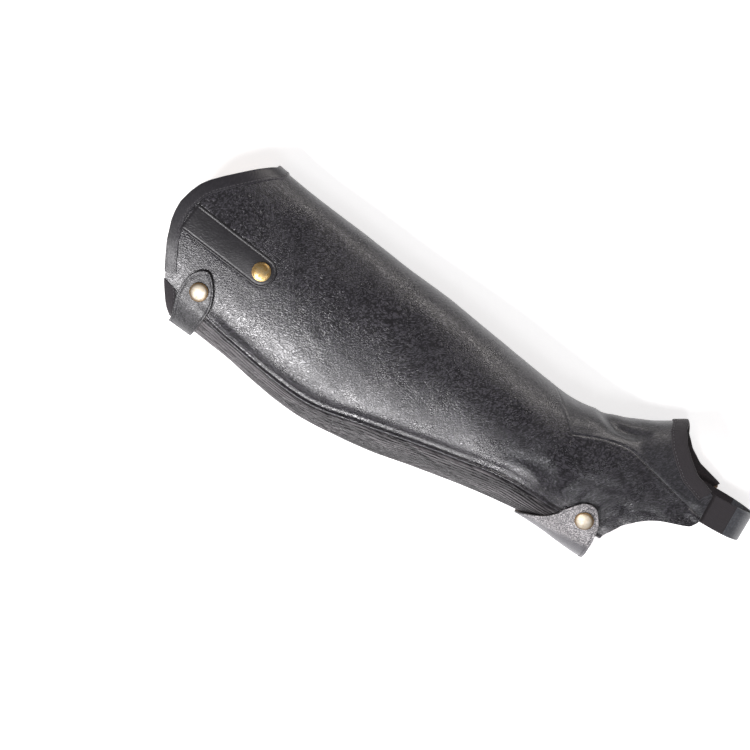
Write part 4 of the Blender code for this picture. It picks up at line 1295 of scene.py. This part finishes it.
def leather(name, dark, light, rough, grain, depth, coat=0.12, streak=2.1, painted_highlight=None):
    """Leather in winding cells, grain wide and streak times as long, with worms between. Its colour is darker
    in the cracks and lighter on the raised cells: painted shade and painted highlight on the grain.

    The last colour argument is painted where the mark is 1, a painted highlight."""
    nodes = Nodes(name)
    spot = nodes.flat((1.0, 1.0, 0.0))
    for scale, reach in ((11.0, 0.05), (150.0, 0.0022)):
        bent = nodes.noise(spot, scale, 1.0, output="Color")
        spot = nodes.math("MULTIPLY_ADD", bent, (reach, reach, 0.0), spot, kind="VectorMath")
    leaning = nodes.add("Mapping", Vector=spot, Rotation=(0.0, 0.0, 0.5)).outputs[0]
    here = nodes.add("Mapping", Vector=leaning, Scale=(1.0 / streak, 1.0, 1.0)).outputs[0]
    pebbles = nodes.ramp(nodes.cells(here, 1 / grain), 0.0, 1.0, 0.0, 0.34)
    worms = nodes.math("ABSOLUTE", nodes.math("SUBTRACT", nodes.noise(here, 0.8 / grain, 2.0, 0.6), 0.5))
    worms = nodes.ramp(worms, 0.0, 1.0, 0.0, 0.10)
    height = nodes.math("ADD", nodes.math("MULTIPLY", pebbles, 0.5), nodes.math("MULTIPLY", worms, 0.8))
    blotch = nodes.noise(spot, 28.0, 3.0, 0.55)
    # Tone: darker in the cracks between cells and lighter on their tops, painted shade and painted highlight,
    # times blotches of random tone
    tone = nodes.math("MULTIPLY", nodes.ramp(height, 0.0, 1.0, 0.5, 1.1),
                      nodes.ramp(blotch, 0.8, 1.0, 0.35, 0.65))
    colour = nodes.mix(tone, dark, light)
    if painted_highlight:
        colour = nodes.mix(nodes.mark(), colour, nodes.mix(tone, dark, painted_highlight))
    return nodes.done(Base_Color=colour, Normal=nodes.bump(height, depth),
                      Roughness=nodes.ramp(blotch, rough - 0.04, rough + 0.07, 0.3, 0.7),
                      Coat_Weight=coat, Coat_Roughness=0.3, IOR=1.58)


def gathered(name, dark, light, rough):
    """Stretch leather: lines down the leg over a slight grain, with painted shade where the mark is 1, deep
    in the rib valleys.
    """
    nodes = Nodes(name)
    lines = nodes.noise(nodes.flat((16.0, 700.0, 0.0)), 0.55, 3.0, 0.55, 0.5)
    grain = nodes.ramp(nodes.cells(nodes.flat((0.6, 1.0, 0.0)), 620.0), 0.0, 1.0, 0.0, 0.3)
    height = nodes.math("ADD", lines, nodes.math("MULTIPLY", grain, 0.15))
    tone = nodes.math("MULTIPLY", nodes.ramp(lines, 0.0, 1.0, 0.40, 0.62),
                      nodes.ramp(nodes.mark(), 1.0, 0.0, 0.08, 0.32))
    return nodes.done(Base_Color=nodes.mix(tone, dark, light), Normal=nodes.bump(height, 0.0011),
                      Roughness=nodes.ramp(lines, rough, rough + 0.14, 0.3, 0.7),
                      Coat_Weight=0.1, Coat_Roughness=0.35)


def woven(name, dark, light, pitch):
    """Webbing and tape: fine ribs both ways."""
    nodes = Nodes(name)
    spot = nodes.flat((1.0, 1.0, 1.0))
    ribs = [nodes.add("TexWave", {"wave_type": "BANDS", "bands_direction": axis}, Vector=spot,
                      Scale=0.314 / size, Distortion=0.4).outputs["Fac"]
            for axis, size in (("X", pitch), ("Y", pitch * 0.8))]
    height = nodes.math("ADD", ribs[0], nodes.math("MULTIPLY", ribs[1], 0.5))
    height = nodes.math("ADD", height, nodes.math("MULTIPLY", nodes.noise(spot, 2200.0), 0.6))
    tone = nodes.ramp(height, 0.0, 1.0, 0.4, 1.6)
    return nodes.done(Base_Color=nodes.mix(tone, dark, light), Normal=nodes.bump(height, 0.0002),
                      Roughness=0.85, Sheen_Weight=0.15, Sheen_Roughness=0.5)


def suede(name, dark, light):
    nodes = Nodes(name)
    nap = nodes.noise(nodes.space(), 900.0, 4.0, 0.7)
    patches = nodes.noise(nodes.space(), 45.0, 3.0, 0.6)
    tone = nodes.ramp(nodes.math("ADD", nap, patches), 0.0, 1.0, 0.7, 1.3)
    return nodes.done(Base_Color=nodes.mix(tone, dark, light), Normal=nodes.bump(nap, 0.0003), Roughness=0.92,
                      Sheen_Weight=0.3, Sheen_Roughness=0.6)


def metal(name, base, painted_highlight, rough, spots=0.4, edge=None):
    """Plated metal with soft wear; edge is the colour round a cap's side, painted shade where the dome turns
    away from the light.
    """
    nodes = Nodes(name)
    spot = nodes.space()
    wear = nodes.noise(spot, 330.0, 4.0, 0.65, 0.6)
    wear = nodes.ramp(wear, 0.0, 1.0, 0.5 - spots / 2, 0.5 + spots / 2)
    colour = nodes.mix(wear, base, painted_highlight)
    # Painted shade round the cap's side
    if edge:
        level = nodes.math("MULTIPLY", spot, (1.0, 1.0, 0.0), kind="VectorMath")
        radius = nodes.math("LENGTH", level, kind="VectorMath", output="Value")
        side = nodes.ramp(radius, 0.0, 1.0, 0.70 * CAP_RADIUS, 0.95 * CAP_RADIUS)
        colour = nodes.mix(side, colour, edge)
    return nodes.done(Base_Color=colour, Metallic=1.0, Roughness=nodes.ramp(wear, rough, rough + 0.16),
                      Normal=nodes.bump(nodes.noise(spot, 3000.0), 0.00002))


def plain(name, dark, light, rough, scale=700.0):
    nodes = Nodes(name)
    grain = nodes.noise(nodes.space(), scale, 3.0)
    return nodes.done(Base_Color=nodes.mix(grain, dark, light), Normal=nodes.bump(grain, 0.0001),
                      Roughness=nodes.ramp(grain, rough - 0.05, rough + 0.08))


# Each leather's dark and light colours span painted shade in the grain's cracks and painted highlight on its
# raised cells
LEATHER = leather("leather_black", (0.005, 0.0045, 0.006), (0.051, 0.048, 0.057), 0.28, 1.4 * MM, 0.00011)
GUSSET_LEATHER = leather("leather_gusset", (0.010, 0.010, 0.012), (0.046, 0.044, 0.052), 0.31, 1.3 * MM,
                         0.00007)
# The flap's pale colour where its mark is 1 is a painted highlight
FLAP_LEATHER = leather("leather_flap_highlight", (0.055, 0.053, 0.058), (0.105, 0.102, 0.115), 0.32, 1.2 * MM, 0.00011,
                       streak=1.2, painted_highlight=(0.50, 0.475, 0.475))
TAB_LEATHER = leather("leather_tab", (0.005, 0.005, 0.006), (0.058, 0.056, 0.062), 0.35, 1.4 * MM, 0.00012,
                      streak=1.4)
RIM_LEATHER = leather("leather_smooth", (0.007, 0.006, 0.008), (0.012, 0.011, 0.014), 0.38, 1.5 * MM, 0.00005,
                      0.0)
# The fold's light colour where its mark is 1 is a painted highlight along the binding's edge
RIM_FOLD_HIGHLIGHT = leather("leather_smooth_fold_highlight", (0.011, 0.010, 0.013), (0.018, 0.016, 0.020), 0.36, 1.5 * MM,
                   0.00005, 0.02, painted_highlight=(0.13, 0.125, 0.14))
STRAP_LEATHER = leather("leather_strap", (0.045, 0.048, 0.055), (0.085, 0.090, 0.10), 0.40, 1.5 * MM, 0.00005,
                        0.08)
STRETCH_LEATHER = gathered("leather_stretch", (0.008, 0.007, 0.008), (0.13, 0.12, 0.125), 0.34)
ELASTIC_CLOTH = woven("elastic_black", (0.012, 0.010, 0.012), (0.026, 0.021, 0.025), 1.0 * MM)
ZIP_CLOTH = woven("zip_tape_black", (0.012, 0.012, 0.013), (0.024, 0.024, 0.026), 0.8 * MM)
SUEDE = suede("suede_tan", (0.42, 0.27, 0.17), (0.62, 0.43, 0.29))
CUT_EDGE = plain("cut_edge", (0.020, 0.019, 0.020), (0.045, 0.042, 0.042), 0.6)
THREAD = plain("thread_black", (0.040, 0.038, 0.042), (0.095, 0.092, 0.098), 0.5, 2500.0)
# The caps' edge colours are painted shade round their sides
CAP_BRIGHT = metal("brass_bright", (0.47, 0.44, 0.385), (0.38, 0.32, 0.23), 0.45, edge=(0.16, 0.10, 0.045))
CAP_BRONZE = metal("brass_bronze", (0.82, 0.62, 0.32), (0.34, 0.20, 0.06), 0.26, 0.2, edge=(0.62, 0.42, 0.18))
ZIP_TEETH = plain("zip_plastic", (0.015, 0.015, 0.016), (0.030, 0.030, 0.032), 0.35)
ZIP_METAL = metal("zip_metal_dark", (0.10, 0.10, 0.11), (0.20, 0.19, 0.18), 0.3)


# Stage

def build_stage():
    bpy.ops.mesh.primitive_plane_add(size=6, location=(0, 0, -0.0005))
    floor = bpy.context.object
    floor.name = "floor"
    nodes = Nodes("floor_white")
    tone = nodes.noise(nodes.space(), 3.0)
    floor.data.materials.append(nodes.done(
        Base_Color=nodes.mix(tone, (0.92, 0.92, 0.925), (0.95, 0.95, 0.95)), Roughness=0.9,
        Emission_Color=(1.0, 1.0, 1.0), Emission_Strength=0.55))


def softbox(name, tilt, turn, distance, size, power, colour, target):
    """An area light at a tilt from straight up, on the side given by turn from +X."""
    data = bpy.data.lights.new(name, "AREA")
    data.shape = "RECTANGLE"
    data.size, data.size_y = size
    data.energy, data.color = power, colour
    made = add_object(name, data)
    tilt, turn = math.radians(tilt), math.radians(turn)
    up = Vector((math.sin(tilt) * math.cos(turn), math.sin(tilt) * math.sin(turn), math.cos(tilt)))
    made.location = up * distance + Vector(target)
    made.rotation_euler = (Vector(target) - made.location).to_track_quat("-Z", "Y").to_euler()


def build_lights():
    softbox("calf_softbox", 32, -110, 1.0, (0.34, 0.11), 11, (1.0, 0.985, 1.0), (-0.105, -0.05, 0.06))
    softbox("flap_softbox", 50, -84, 0.9, (0.14, 0.3), 4, (1.0, 0.98, 1.0), (0.15, -0.045, 0.05))
    softbox("foot_softbox", 22, -55, 1.2, (0.3, 0.3), 2.0, (0.96, 0.98, 1.0), (0.17, -0.01, 0.05))
    softbox("edge_softbox", 78, 172, 1.2, (1.2, 0.12), 2.5, (1.0, 1.0, 1.0), (-0.24, 0, 0.05))
    softbox("shin_softbox", 60, 82, 1.5, (0.9, 0.12), 6.7, (1.0, 0.95, 0.92), (0.02, 0, 0.04))
    world = bpy.data.worlds.new("studio")
    bpy.context.scene.world = world
    world.use_nodes = True
    back = world.node_tree.nodes["Background"]
    back.inputs["Color"].default_value = (1.0, 0.97, 1.0, 1)
    back.inputs["Strength"].default_value = 0.2


def set_colours():
    view = bpy.context.scene.view_settings
    view.view_transform = "Standard"
    view.look = "None"
    view.exposure = 0.0
    view.gamma = 1.0


def build_camera():
    data = bpy.data.cameras.new("camera")
    data.lens = CAMERA_LENS
    data.sensor_width = 36
    made = add_object("camera", data)
    made.location = CAMERA_PLACE
    made.rotation_euler = (0, 0, CAMERA_TURN)
    bpy.context.scene.camera = made


def main():
    main_panel = build_main_panel()
    gusset = build_gusset()
    stretch = build_stretch_panel()
    build_bindings()
    build_seam_threads()
    build_knee_tab()
    build_heel_flap()
    build_strip()
    build_zip()
    build_stirrup()
    build_stage()
    build_lights()
    build_camera()
    set_colours()


main()
